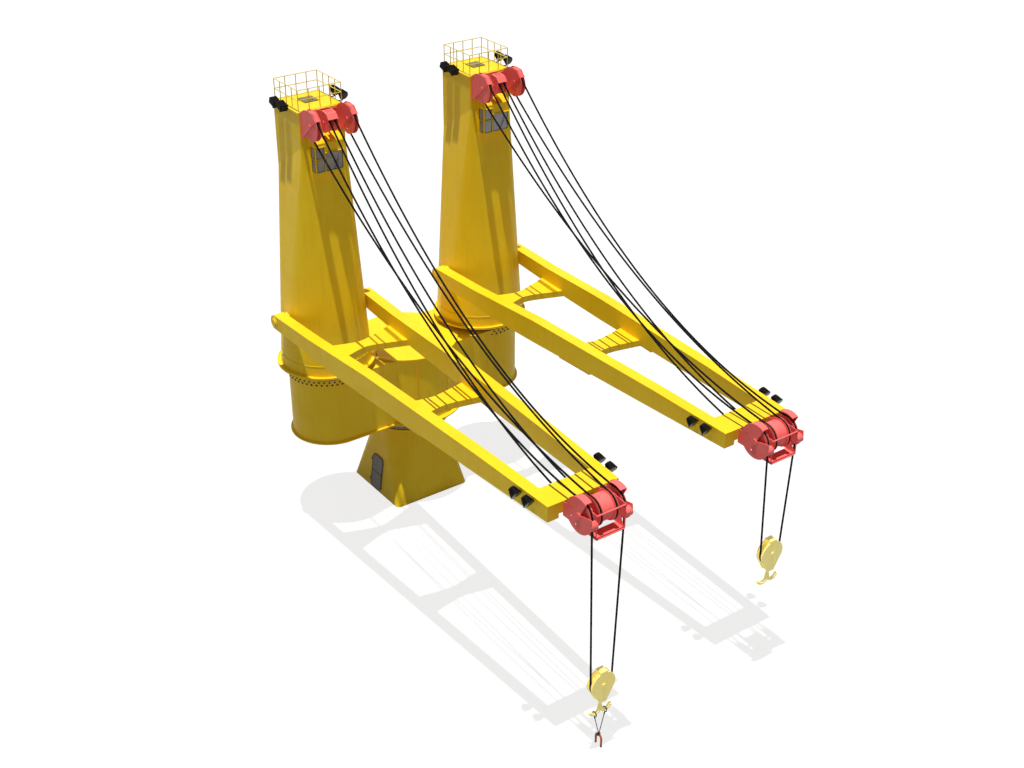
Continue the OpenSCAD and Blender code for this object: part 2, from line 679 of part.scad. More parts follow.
// Mast head: two outer housings for the hoist ropes and one in the middle for the luffing ropes
anchor_at = [2000, 22800];
cheek_in = sheave_w / 2 + 12;
module guard_plate(y0, y1) {
  plate_xz(y0, y1) difference() {
    translate([2050, 23400]) circle(r = guard_r);
    translate([0, 22000]) square([head_front, 3000]);
    for (a = [235, 262]) translate([2050 + 480 * cos(a), 23400 + 480 * sin(a)]) circle(r = 45);
  }
}
module outer_plate(y0, y1) {
  plate_xz(y0, y1) polygon([[head_front, 22570], [2650, 23830], [2350, 24150], [1900, 24200], [1550, 24150],
    [head_front, deck_z]]);
}
module mast_head() {
  mid_w = mast_luff_y + cheek_in;
  color(head_red) difference() {
    union() {
      both_sides() translate([0, mast_hoist_y, 0]) {
        for (s = [0, 1]) mirror([0, s, 0]) {
          guard_plate(cheek_in, cheek_in + cheek_t);
          outer_plate(cheek_in + cheek_t, cheek_in + 2 * cheek_t);
        }
        plate_xz(-cheek_in - 1, cheek_in + 1) polygon([[1900, 24200], [2350, 24150], [2650, 23830], [2612, 23812],
          [2332, 24120], [1900, 24170]]);
        translate([head_front, -cheek_in - 1, 22650]) cube([40, 2 * cheek_in + 2, 1230]);
        translate([mast_hoist_x, 0, mast_hoist_z]) rod_y(axle_r + 35, 2 * cheek_in + 4 * cheek_t + 70);
        // Anchor of the luffing rope's dead end
        translate([anchor_at[0], 0, anchor_at[1]]) {
          rod_y(28, 2 * cheek_in + 2);
          rod_y(58, 90);
        }
      }
      both_sides() {
        plate_xz(mid_w, mid_w + cheek_t) union() {
          translate([mast_luff_x, mast_luff_z]) circle(r = 500);
          polygon([[head_front, 22950], [2330, 23670], [2120, 23930], [1700, 23990], [head_front, deck_z]]);
        }
      }
      plate_xz(-mid_w - 1, mid_w + 1) polygon([[1700, 23990], [2120, 23930], [2330, 23670], [2296, 23652],
        [2100, 23900], [1700, 23960]]);
      for (s = [-1, 0, 1]) translate([1750, s * 130 - 20, 23980]) rotate([0, 8, 0]) cube([260, 40, 45]);
      translate([head_front, -mid_w - 1, 22980]) cube([40, 2 * mid_w + 2, 900]);
      translate([mast_luff_x, 0, mast_luff_z]) rod_y(axle_r + 30, 2 * mid_w + 2 * cheek_t + 60);
      // Cross plate that ties the three housings together
      translate([head_front, mast_hoist_y - cheek_in, 23300]) mirror([0, 1, 0])
        cube([36, 2 * (mast_hoist_y - cheek_in), 520]);
    }
    // Rooms for the sheaves, each with its axle left standing
    both_sides() translate([mast_hoist_x, mast_hoist_y, mast_hoist_z]) difference() {
      rod_y(mast_hoist_r + 20, 2 * cheek_in);
      rod_y(axle_r, 2 * cheek_in + 2);
    }
    translate([mast_luff_x, 0, mast_luff_z]) difference() {
      rod_y(mast_luff_r + 20, 2 * mid_w);
      rod_y(axle_r, 2 * mid_w + 2);
    }
  }
}
module mast_hoist_sheaves() {
  color(head_red) both_sides() translate([mast_hoist_x, mast_hoist_y, mast_hoist_z])
    sheave(mast_hoist_r, axle_r + fit_gap);
}
module mast_luff_sheaves() {
  color(head_red) both_sides() translate([mast_luff_x, mast_luff_y, mast_luff_z])
    sheave(mast_luff_r, axle_r + fit_gap);
}

// Side outline of a leg about its foot pin; by draws it in
module leg_outline(by, from) {
  e = boom_l + 60;
  t = boom_top - by;
  b = -leg_h / 2 + by;
  polygon([[from, t], [0.157 * e, t], [0.381 * e, t + leg_crown], [0.784 * e, t + 0.7 * leg_crown], [e, t],
    [e, b], [0.784 * e, b - 0.38 * leg_belly], [0.385 * e, b - leg_belly], [0.242 * e, b - leg_belly],
    [0.139 * e, b - 0.38 * leg_belly], [from, b]]);
}
module in_leg() { translate([0, -leg_mid_y(0), 0]) rotate([0, 0, leg_turn]) children(); }
// Plan of a tie, drawn in towards its middle
function tie_half(tie, y) = let (c = 350, w = 2100)
  tie[2] + (tie[1] - tie[2]) * (sqrt(1 + pow(y / c, 2)) - 1) / (sqrt(1 + pow(w / c, 2)) - 1);
module tie_plan(tie) {
  span = leg_mid_y(tie[0]) - 60;
  ys = steps(-span, span, 14);
  polygon(concat([for (y = ys) [tie[0] + tie_half(tie, y), y]], [for (y = reversed(ys)) [tie[0] - tie_half(tie, y), y]]));
}
module end_beam(by) {
  w = leg_mid_y(boom_l - end_beam_l);
  translate([boom_l - end_beam_l + by, -w, boom_top - end_beam_h + by])
    cube([end_beam_l - 2 * by, 2 * w, end_beam_h - 2 * by]);
}
module boom() {
  color(crane_yellow) translate([0, 0, pin_z]) difference() {
    union() {
      both_sides() {
        in_leg() plate_xz(-leg_w / 2, leg_w / 2) {
          circle(r = leg_h / 2);
          leg_outline(0, 0);
        }
        translate([0, -(boss_y + cap_y) / 2, 0]) rod_y(boss_r, cap_y - boss_y - 2 * seat_gap);
        in_leg() translate([pad_from, 40 - leg_w / 2, tie_top - pad_h + 130])
          cube([pad_to - pad_from, leg_w - 80, pad_h]);
      }
      end_beam(0);
      for (tie = ties) translate([0, 0, tie_top - tie_h + 130]) linear_extrude(tie_h) tie_plan(tie);
    }
    // Hollow box girders
    difference() {
      both_sides() in_leg() plate_xz(leg_wall - leg_w / 2, leg_w / 2 - leg_wall) leg_outline(leg_wall, 480);
      translate([boom_l - leg_wall, -4000, -1500]) cube([500, 8000, 3000]);
    }
    end_beam(leg_wall);
    translate([boom_l, -4000, -1500]) cube([2000, 8000, 3000]);
    // Ways through the end beam for the lower luffing ropes
    both_sides() translate([boom_l - 1500, head_luff_y - 110, -1000]) cube([1600, 180, 1180]);
    rod_y(foot_pin_r + fit_gap, 3 * foot_half_w);
  }
}
module foot_pins() {
  inner = boss_y - 350;
  color(steel) translate([0, 0, pin_z]) both_sides() {
    translate([0, -(inner + cap_y + 60) / 2, 0]) rod_y(foot_pin_r, cap_y + 60 - inner);
    translate([0, -cap_y - 30, 0]) rod_y(foot_pin_r + 60, 60);
  }
}

// Boom head
web_y = head_hoist_y - sheave_w / 2 - 12 - cheek_t;
module pie(r, a0, a1) { polygon([[0, 0], [r * cos(a0), r * sin(a0)], [r * cos((a0 + a1) / 2), r * sin((a0 + a1) / 2)],
  [r * cos(a1), r * sin(a1)]]); }
module arm_outline(reach) {
  translate([-head_axle_out, -head_axle_up - leg_h / 2 + 60]) square([reach, leg_h - 60]);
}
module boom_head() {
  bar = [770, 260];
  tube = [660, -190];
  plate_z = -900;
  fall_room = rope_line(head_hoist_r) + rope_r + 15;
  color(head_red) translate([head_x, 0, head_z]) {
    difference() {
      both_sides() {
        // Side disc, cut open where the hoist rope leaves its sheave
        plate_xz(side_disc_y - cheek_t, side_disc_y) difference() {
          union() {
            circle(r = side_disc_r);
            arm_outline(head_axle_out);
          }
          translate([80, 60]) pie(1300, 12, 62);
          for (a = [165, 205, 250]) translate([560 * cos(a), 560 * sin(a)]) circle(r = 45);
        }
        plate_xz(web_y, web_y + cheek_t) {
          circle(r = 400);
          arm_outline(head_axle_out);
          polygon([[0, -300], [bar[0] + 40, bar[1] - 50], [bar[0] + 40, bar[1] + 50], [0, 380]]);
          polygon([[-380, -100], [-300, plate_z], [700, plate_z], [330, -100]]);
        }
        // Cover over the hoist sheave
        translate([0, web_y + 1, 0]) mirror([0, 1, 0]) rotate([90, 0, 0]) rotate([0, 0, 62])
          rotate_extrude(angle = 53) translate([side_disc_r - 30, 0]) square([30, side_disc_y - web_y - 1]);
      }
      rod_y(head_pin_r, 3 * side_disc_y);
    }
    translate([bar[0], 0, bar[1]]) rod_y(35, 2 * web_y + 60);
    both_sides() {
      // Tube across each outer bay, open where the sheave turns and the fall swings
      difference() {
        translate([tube[0], (web_y + side_disc_y) / 2, tube[1]]) rod_y(cross_tube_r, side_disc_y - web_y - 2);
        translate([0, head_hoist_y, 0]) rod_y(fall_room, sheave_w + 24);
        translate([0, head_hoist_y - rope_r - 30, -600]) cube([fall_room, rope_d + 47, 600]);
      }
      translate([bar[0], web_y + 15, plate_z]) cylinder(r = 28, h = bar[1] - plate_z);
    }
    translate([200, -web_y - 10, plate_z - 40]) cube([bar[0] - 160, 2 * web_y + 20, 40]);
  }
}
module head_pin() {
  color(steel) translate([head_x, 0, head_z]) {
    rod_y(head_pin_r, 2 * side_disc_y);
    both_sides() translate([0, side_disc_y + 25, 0]) rod_y(head_pin_r + 50, 50);
  }
}
module hoist_sheaves() {
  color(head_red) both_sides() translate([head_x, head_hoist_y, head_z]) sheave(head_hoist_r, head_pin_r + fit_gap);
}
module luff_sheaves() {
  drum_r = head_luff_r - 100;
  drum_w = 2 * (head_luff_y - sheave_w / 2) + 2;
  color(head_red) translate([head_x, 0, head_z]) {
    both_sides() translate([0, head_luff_y, 0]) sheave(head_luff_r, head_pin_r + fit_gap);
    difference() {
      rod_y(drum_r, drum_w);
      rod_y(drum_r - 40, drum_w + 2);
    }
  }
}
module boom_lamps() {
  color(black) translate([0, 0, pin_z]) both_sides() for (x = [20450, 21300])
    in_leg() translate([x, -leg_w / 2 - 300, 220]) {
      translate([150, 0, 0]) rotate([0, 30, 0]) floodlight(260, 380);
      translate([-60, 180, -40]) cube([80, 120, 80]);
    }
}

// A rope of eight sides that follows a list of points
function unit(v) = v / norm(v);
function heading(pts, i) = unit(pts[min(i + 1, len(pts) - 1)] - pts[max(i - 1, 0)]);
function rope_ring(p, d) = let (u = unit(cross(d, [0.001, 1, 0])), v = cross(d, u))
  [for (k = [0:7]) p + rope_r * (cos(k * 45) * u + sin(k * 45) * v)];
module rope(pts) {
  n = len(pts);
  rings = [for (i = [0:n - 1]) each rope_ring(pts[i], heading(pts, i))];
  sides = [for (i = [0:n - 2], k = [0:7]) let (a = i * 8 + k, b = i * 8 + (k + 1) % 8)
    each [[a, b + 8, b], [a, a + 8, b + 8]]];
  polyhedron(rings, concat([[for (k = [0:7]) k]], sides, [[for (k = [7:-1:0]) (n - 1) * 8 + k]]));
}
// Points from a to b, hanging by sag at the middle
span_steps = 5;
function hang(a, b, sag) = [for (i = [0:span_steps]) let (t = i / span_steps)
  a + (b - a) * t - [0, 0, 4 * sag * t * (1 - t)]];
// Slope of the first and the last stretch of such a rope between two axles
function end_turn(a, b, sag, s) = atan((a[2] - b[2] + s * 4 * sag * (1 - 1 / span_steps)) / (b[0] - a[0]));
// The point on a sheave's rope line that is turned by turn from its top
function on_sheave(c, r, turn) = c + rope_line(r) * [sin(turn), 0, cos(turn)];
mast_hoist_c = [mast_hoist_x, mast_hoist_y, mast_hoist_z];
mast_luff_c = [mast_luff_x, mast_luff_y, mast_luff_z];
head_hoist_c = [head_x, head_hoist_y, head_z];
head_luff_c = [head_x, head_luff_y, head_z];
anchor_c = [anchor_at[0] + 60, mast_hoist_y, anchor_at[1] - 45];
function turns(a, b, sag) = [end_turn(a, b, sag, 1), end_turn(a, b, sag, -1)];
hoist_turns = turns(mast_hoist_c, head_hoist_c, hoist_sag);
luff_top_turns = turns(anchor_c, head_luff_c + [0, 0, rope_line(head_luff_r)], luff_top_sag);
luff_low_turns = turns(mast_luff_c, head_luff_c - [0, 0, rope_line(head_luff_r)], luff_low_sag);
// Rope on a sheave, from turn a to turn b, both counted from the top towards the front
wrap_gap = 0.1;
module wrap(c, r, a, b) {
  translate(c) rotate([90, 0, 0]) rotate([0, 0, 90 - b]) rotate_extrude(angle = b - a)
    translate([rope_line(r), 0]) circle(r = rope_r, $fn = 8);
}
module span_ropes() {
  color(black) both_sides() {
    rope(hang(on_sheave(mast_hoist_c, mast_hoist_r, hoist_turns[0]),
      on_sheave(head_hoist_c, head_hoist_r, hoist_turns[1]), hoist_sag));
    wrap(head_hoist_c, head_hoist_r, hoist_turns[1] + wrap_gap, 90 - wrap_gap);
    rope(hang(anchor_c, on_sheave(head_luff_c, head_luff_r, luff_top_turns[1]), luff_top_sag));
    rope(hang(on_sheave(mast_luff_c, mast_luff_r, luff_low_turns[0]),
      on_sheave(head_luff_c, head_luff_r, 180 + luff_low_turns[1]), luff_low_sag));
    wrap(head_luff_c, head_luff_r, luff_top_turns[1] + wrap_gap, 180 + luff_low_turns[1] - wrap_gap);
  }
}
module fall_ropes(block_z) {
  foot_y = rope_line(block_sheave_r);
  color(black) both_sides() rope([[fall_x, head_hoist_y, head_z - 2], [fall_x, foot_y, block_z]]);
}

// Hook block: pear-shaped cheeks, a sheave between them and a crosshead for the hook
crosshead_z = -900;
module cheek_outline() {
  tip_r = 190;
  difference() {
    union() {
      circle(r = block_sheave_r + 15);
      polygon([[-610, -220], [-tip_r, crosshead_z - 110], [tip_r, crosshead_z - 110], [610, -220]]);
      translate([0, 560]) square([420, 340], center = true);
    }
    circle(r = block_pin_r);
  }
}
module block(block_z) {
  gap = block_t / 2 - block_cheek_t;
  color(hook_yellow) translate([fall_x, 0, block_z]) {
    for (s = [0, 1]) mirror([s, 0, 0]) {
      translate([gap, 0, 0]) rotate([90, 0, 90]) linear_extrude(block_cheek_t) cheek_outline();
      translate([gap + 1, 0, 0]) rotate([0, 90, 0]) cylinder(r = block_pin_r, h = block_cheek_t + 39);
    }
    rod_x(block_pin_r, 2 * gap + 2);
    translate([-gap - 1, -180, 680]) cube([2 * gap + 2, 360, 50]);
    difference() {
      translate([-gap - 1, -150, crosshead_z - 100]) cube([2 * gap + 2, 300, 160]);
      translate([0, 0, crosshead_z - 101]) cylinder(r = shank_r + fit_gap, h = 162);
    }
  }
}
module block_sheave(block_z) {
  color(hook_yellow) translate([fall_x, 0, block_z]) rotate([0, 0, 90]) sheave(block_sheave_r, block_pin_r + fit_gap);
}

// Double hook: a shank with a nut above the crosshead and two arms that sweep out and up
hook_z = crosshead_z - 560;
arm_r = 300;
arm_rod_r = 85;
arm_turn = 155;
// The arm starts inside the hook's root
arm_start = 12;
module hook_arm() {
  translate([0, arm_r, 60]) rotate([90, 0, 90]) rotate([0, 0, 180 + arm_start])
    rotate_extrude(angle = arm_turn - arm_start) translate([arm_r, 0]) circle(r = arm_rod_r);
}
module hook(block_z) {
  tip = arm_turn - 180;
  color(hook_yellow) translate([fall_x, 0, block_z]) {
    translate([0, 0, hook_z]) cylinder(r = shank_r, h = crosshead_z + 165 - hook_z);
    translate([0, 0, crosshead_z + 60 + seat_gap]) cylinder(r = 130, h = 90, $fn = 6);
    translate([0, 0, hook_z - 40]) cylinder(r1 = 125, r2 = shank_r, h = 330);
    translate([0, 0, hook_z]) both_sides() {
      hook_arm();
      translate([0, arm_r + arm_r * cos(tip), 60 + arm_r * sin(tip)]) sphere(r = arm_rod_r + 4);
    }
    translate([0, 0, hook_z - 40]) sphere(r = 125);
  }
}

// Sling: a ring over each arm of the hook, a leg from each and a link that holds the shackle
sling_r = 22;
leg_r = 20;
arm_ring_r = 130;
arm_ring_z = 60 - arm_r - (arm_ring_r - sling_r - arm_rod_r) + seat_gap;
leg_top_z = arm_ring_z - arm_ring_r;
shackle_drop = -1810;
shackle_bow_r = 190;
shackle_rod_r = 50;
link_r = 80;
link_z = shackle_drop + shackle_bow_r - shackle_rod_r + link_r - sling_r - seat_gap;
leg_end = [18, link_z + link_r];
module ring(r) {
  rotate_extrude($fn = 40) translate([r, 0]) circle(r = sling_r, $fn = 8);
}
module sling() {
  lean = atan((arm_r - leg_end[0]) / (leg_top_z - leg_end[1]));
  leg_l = (leg_top_z - leg_end[1]) / cos(lean);
  color(black) translate([fall_x, 0, near_block_z + hook_z]) {
    both_sides() {
      translate([0, arm_r, arm_ring_z]) rotate([90, 0, 0]) ring(arm_ring_r);
      translate([0, leg_end[0], leg_end[1]]) rotate([-lean, 0, 0]) cylinder(r = leg_r, h = leg_l);
    }
    translate([0, 0, link_z]) rotate([0, 90, 0]) ring(link_r);
  }
}
module shackle() {
  leg = 420;
  color(copper) translate([fall_x, 0, near_block_z + hook_z + shackle_drop]) {
    rotate([90, 0, 0]) rotate_extrude(angle = 180) translate([shackle_bow_r, 0]) circle(r = shackle_rod_r);
    for (s = [-1, 1]) translate([s * shackle_bow_r, 0, -leg]) cylinder(r = shackle_rod_r, h = leg);
  }
}

pedestal();
pedestal_door();
platform_bearing();
platform();
platform_motor();
platform_pinion();
near() slew_ring();  // near_slew_ring
near() tower();  // near_tower
near() slew_motor();  // near_slew_motor
near() slew_pinion();  // near_slew_pinion
near() cab();  // near_cab
near() cab_windows();  // near_cab_windows
near() railing();  // near_railing
near() hatch();  // near_hatch
near() tower_lamps();  // near_tower_lamps
near() mast_head();  // near_mast_head
near() mast_hoist_sheaves();  // near_mast_hoist_sheaves
near() mast_luff_sheaves();  // near_mast_luff_sheaves
near() winch_drum(hoist_drum_at, hoist_drum);  // near_hoist_drum
near() winch_drum(luff_drum_at, luff_drum);  // near_luff_drum
near() boom();  // near_boom
near() foot_pins();  // near_foot_pins
near() boom_head();  // near_boom_head
near() head_pin();  // near_head_pin
near() hoist_sheaves();  // near_hoist_sheaves
near() luff_sheaves();  // near_luff_sheaves
near() boom_lamps();  // near_boom_lamps
near() span_ropes();  // near_span_ropes
near() fall_ropes(near_block_z);  // near_fall_ropes
near() block(near_block_z);  // near_block
near() block_sheave(near_block_z);  // near_block_sheave
near() hook(near_block_z);  // near_hook
near() sling();  // near_sling
near() shackle();  // near_shackle
far() slew_ring();  // far_slew_ring
far() tower();  // far_tower
far() slew_motor();  // far_slew_motor
far() slew_pinion();  // far_slew_pinion
far() cab();  // far_cab
far() cab_windows();  // far_cab_windows
far() railing();  // far_railing
far() hatch();  // far_hatch
far() tower_lamps();  // far_tower_lamps
far() mast_head();  // far_mast_head
far() mast_hoist_sheaves();  // far_mast_hoist_sheaves
far() mast_luff_sheaves();  // far_mast_luff_sheaves
far() winch_drum(hoist_drum_at, hoist_drum);  // far_hoist_drum
far() winch_drum(luff_drum_at, luff_drum);  // far_luff_drum
far() boom();  // far_boom
far() foot_pins();  // far_foot_pins
far() boom_head();  // far_boom_head
far() head_pin();  // far_head_pin
far() hoist_sheaves();  // far_hoist_sheaves
far() luff_sheaves();  // far_luff_sheaves
far() boom_lamps();  // far_boom_lamps
far() span_ropes();  // far_span_ropes
far() fall_ropes(far_block_z);  // far_fall_ropes
far() block(far_block_z);  // far_block
far() block_sheave(far_block_z);  // far_block_sheave
far() hook(far_block_z);  // far_hook
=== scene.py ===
"""The marine crane's finished look: camera, light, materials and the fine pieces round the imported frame."""
import json
import math
from collections import namedtuple

import bmesh
import bpy
import numpy as np
from mathutils import Matrix, Vector


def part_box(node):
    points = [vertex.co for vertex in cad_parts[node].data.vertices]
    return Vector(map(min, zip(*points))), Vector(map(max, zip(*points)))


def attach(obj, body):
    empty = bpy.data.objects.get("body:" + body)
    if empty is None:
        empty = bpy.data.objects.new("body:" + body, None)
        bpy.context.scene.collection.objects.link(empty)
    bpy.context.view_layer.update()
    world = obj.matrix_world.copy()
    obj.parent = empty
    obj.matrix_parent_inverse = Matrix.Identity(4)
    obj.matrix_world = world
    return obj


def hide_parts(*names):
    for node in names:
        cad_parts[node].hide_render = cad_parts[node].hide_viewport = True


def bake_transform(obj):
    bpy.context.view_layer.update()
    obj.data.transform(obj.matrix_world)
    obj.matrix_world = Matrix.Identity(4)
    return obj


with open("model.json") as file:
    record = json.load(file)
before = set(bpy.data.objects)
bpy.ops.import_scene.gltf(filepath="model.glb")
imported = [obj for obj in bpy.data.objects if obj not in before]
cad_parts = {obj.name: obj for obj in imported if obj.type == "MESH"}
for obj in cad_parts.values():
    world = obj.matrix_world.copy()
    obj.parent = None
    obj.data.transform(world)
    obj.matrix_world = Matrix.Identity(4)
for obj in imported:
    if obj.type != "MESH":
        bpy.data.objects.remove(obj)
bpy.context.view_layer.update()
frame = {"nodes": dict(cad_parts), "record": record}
scene = bpy.context.scene

CRANES = {"near": -5.02, "far": 5.02}
SIDES = (-1, 1)
ALONG_X = Vector((1, 0, 0))
ALONG_Y = Vector((0, 1, 0))

# Places and sizes that the CAD gives, in metres
DECK_Z = 23.9
PIN_Z = 12.57
BOOM_L = 22.31
LEG_FOOT_Y = 2.91
LEG_HEAD_Y = 1.91
LEG_MID_Y = 2.61
POT_TOP = 9.28
POT_FOOT = 5.424
COLLAR_Z = 9.694
PEDESTAL_HALF_W = 2.39
PEDESTAL_NECK_R = 1.75
PEDESTAL_NECK_Z = 4.49

# Camera, fitted to the photo, in degrees and millimetres
CAMERA_PLACE = (61.56, -37.24, 46.86)
CAMERA_AZIMUTH = 54.06
CAMERA_ELEVATION = 29.49
CAMERA_ROLL = 0.28
CAMERA_LENS = 50.71
CAMERA_SENSOR = 36
CAMERA_REACH = 900

# Light and floor
SKY_COLOUR = (0.93, 0.96, 1.0, 1)
SKY_STRENGTH = 0.22
SUN_PLACE = (0.035, -0.085, 1.0)
SUN_COLOUR = (1.0, 0.985, 0.95)
SUN_POWER = 4.05
SUN_WIDTH = 0.7
FLOOR_HALF = 420
FLOOR_Z = -0.01
FLOOR_DULL = 0.29
FLOOR_PALE = 0.2
FLOOR_GLOW = 0.8
WHITE = (1, 1, 1, 1)


def add_camera():
    """The photo's camera. Its azimuth turns from -Y towards +X."""
    azimuth = math.radians(CAMERA_AZIMUTH)
    elevation = math.radians(CAMERA_ELEVATION)
    roll = math.radians(CAMERA_ROLL)
    flat = math.cos(elevation)
    back = Vector((math.sin(azimuth) * flat, -math.cos(azimuth) * flat, math.sin(elevation)))
    level = Vector((math.cos(azimuth), math.sin(azimuth), 0))
    upright = back.cross(level)
    right = level * math.cos(roll) + upright * math.sin(roll)
    up = upright * math.cos(roll) - level * math.sin(roll)
    data = bpy.data.cameras.new("camera")
    data.sensor_width = CAMERA_SENSOR
    data.lens = CAMERA_LENS
    data.clip_end = CAMERA_REACH
    camera = bpy.data.objects.new("camera", data)
    axes = Matrix((right, up, back)).transposed().to_4x4()
    camera.matrix_world = Matrix.Translation(CAMERA_PLACE) @ axes
    scene.collection.objects.link(camera)
    scene.camera = camera


def seen_ray(tree):
    """1 for a ray that the eye, a gloss or a glass sends, 0 for one that carries light."""
    path = tree.nodes.new("ShaderNodeLightPath")
    last = path.outputs["Is Camera Ray"]
    for name in ("Is Glossy Ray", "Is Transmission Ray"):
        either = tree.nodes.new("ShaderNodeMath")
        either.operation = "MAXIMUM"
        tree.links.new(last, either.inputs[0])
        tree.links.new(path.outputs[name], either.inputs[1])
        last = either.outputs[0]
    return last


def mix_by_ray(tree, unseen, seen, output):
    """Sends one shader to the output for rays that carry light, and the other for rays that are seen."""
    mix = tree.nodes.new("ShaderNodeMixShader")
    tree.links.new(seen_ray(tree), mix.inputs["Fac"])
    tree.links.new(unseen, mix.inputs[1])
    tree.links.new(seen, mix.inputs[2])
    tree.links.new(mix.outputs[0], output.inputs["Surface"])


def add_world():
    """A soft sky that lights the object, and a white one that is seen."""
    world = bpy.data.worlds.new("world")
    scene.world = world
    world.use_nodes = True
    tree = world.node_tree
    tree.nodes.clear()
    output = tree.nodes.new("ShaderNodeOutputWorld")
    sky = tree.nodes.new("ShaderNodeBackground")
    sky.inputs["Color"].default_value = SKY_COLOUR
    sky.inputs["Strength"].default_value = SKY_STRENGTH
    white = tree.nodes.new("ShaderNodeBackground")
    white.inputs["Color"].default_value = WHITE
    white.inputs["Strength"].default_value = 1.0
    mix_by_ray(tree, sky.outputs[0], white.outputs[0], output)


def add_sun():
    data = bpy.data.lights.new("sun", "SUN")
    data.energy = SUN_POWER
    data.angle = math.radians(SUN_WIDTH)
    data.color = SUN_COLOUR
    sun = bpy.data.objects.new("sun", data)
    sun.rotation_euler = Vector(SUN_PLACE).to_track_quat("Z", "Y").to_euler()
    scene.collection.objects.link(sun)


def floor_material():
    """Dull for the light that it throws back, and near white, with the object's shadow, where it is seen."""
    material = bpy.data.materials.new("floor")
    material.use_nodes = True
    tree = material.node_tree
    tree.nodes.clear()
    output = tree.nodes.new("ShaderNodeOutputMaterial")
    dull = tree.nodes.new("ShaderNodeBsdfDiffuse")
    dull.inputs["Color"].default_value = (FLOOR_DULL, FLOOR_DULL, FLOOR_DULL, 1)
    pale = tree.nodes.new("ShaderNodeBsdfDiffuse")
    pale.inputs["Color"].default_value = (FLOOR_PALE, FLOOR_PALE, FLOOR_PALE, 1)
    glow = tree.nodes.new("ShaderNodeEmission")
    glow.inputs["Color"].default_value = WHITE
    glow.inputs["Strength"].default_value = FLOOR_GLOW
    both = tree.nodes.new("ShaderNodeAddShader")
    tree.links.new(pale.outputs[0], both.inputs[0])
    tree.links.new(glow.outputs[0], both.inputs[1])
    mix_by_ray(tree, dull.outputs[0], both.outputs[0], output)
    return material


def add_floor():
    s = FLOOR_HALF
    mesh = bpy.data.meshes.new("floor")
    mesh.from_pydata([(-s, -s, 0), (s, -s, 0), (s, s, 0), (-s, s, 0)], [], [(0, 1, 2, 3)])
    mesh.materials.append(floor_material())
    floor = bpy.data.objects.new("floor", mesh)
    floor.location.z = FLOOR_Z
    scene.collection.objects.link(floor)


# Materials
def linear(c):
    c /= 255
    return c / 12.92 if c <= 0.04045 else ((c + 0.055) / 1.055) ** 2.4


def rgb(r, g, b):
    """A colour as it shows on screen, from 0 to 255, in the shaders' linear scale."""
    return (linear(r), linear(g), linear(b), 1)


class Shader:
    """A principled material with helpers for its nodes. Patterns are in metres, in the object's frame."""

    def __init__(self, name, metallic=0.0, coat=0.0, gloss=0.5):
        self.mat = bpy.data.materials.new(name)
        self.mat.use_nodes = True
        self.tree = self.mat.node_tree
        self.bsdf = self.tree.nodes["Principled BSDF"]
        self.coords = self.tree.nodes.new("ShaderNodeTexCoord").outputs["Object"]
        self.set(Metallic=metallic, Coat_Weight=coat, Specular_IOR_Level=gloss)

    def noise(self, scale, detail=3.0, stretch=(1, 1, 1)):
        place = self.tree.nodes.new("ShaderNodeMapping")
        place.inputs["Scale"].default_value = stretch
        self.tree.links.new(self.coords, place.inputs["Vector"])
        noise = self.tree.nodes.new("ShaderNodeTexNoise")
        noise.inputs["Scale"].default_value = scale
        noise.inputs["Detail"].default_value = detail
        noise.inputs["Roughness"].default_value = 0.55
        self.tree.links.new(place.outputs[0], noise.inputs["Vector"])
        return noise.outputs[0]

    def steps(self, value, lo, hi, out_lo=0.0, out_hi=1.0):
        """The value's range from lo to hi, stretched to run from out_lo to out_hi."""
        steps = self.tree.nodes.new("ShaderNodeMapRange")
        steps.inputs["From Min"].default_value = lo
        steps.inputs["From Max"].default_value = hi
        steps.inputs["To Min"].default_value = out_lo
        steps.inputs["To Max"].default_value = out_hi
        self.tree.links.new(value, steps.inputs["Value"])
        return steps.outputs[0]

    def feed(self, socket, value):
        """Sets a plain value on a socket, or links another node's output to it."""
        if isinstance(value, (int, float, tuple)):
            socket.default_value = value
        else:
            self.tree.links.new(value, socket)

    def mix(self, factor, a, b):
        mix = self.tree.nodes.new("ShaderNodeMix")
        mix.data_type = "RGBA"
        self.feed(mix.inputs[0], factor)
        self.feed(mix.inputs[6], a)
        self.feed(mix.inputs[7], b)
        return mix.outputs[2]

    def maths(self, kind, a, b):
        maths = self.tree.nodes.new("ShaderNodeMath")
        maths.operation = kind
        self.feed(maths.inputs[0], a)
        self.feed(maths.inputs[1], b)
        return maths.outputs[0]

    def bump(self, height, strength, distance):
        bump = self.tree.nodes.new("ShaderNodeBump")
        bump.inputs["Strength"].default_value = strength
        bump.inputs["Distance"].default_value = distance
        self.tree.links.new(height, bump.inputs["Height"])
        self.tree.links.new(bump.outputs[0], self.bsdf.inputs["Normal"])

    def set(self, **sockets):
        for name, value in sockets.items():
            self.feed(self.bsdf.inputs[name.replace("_", " ")], value)


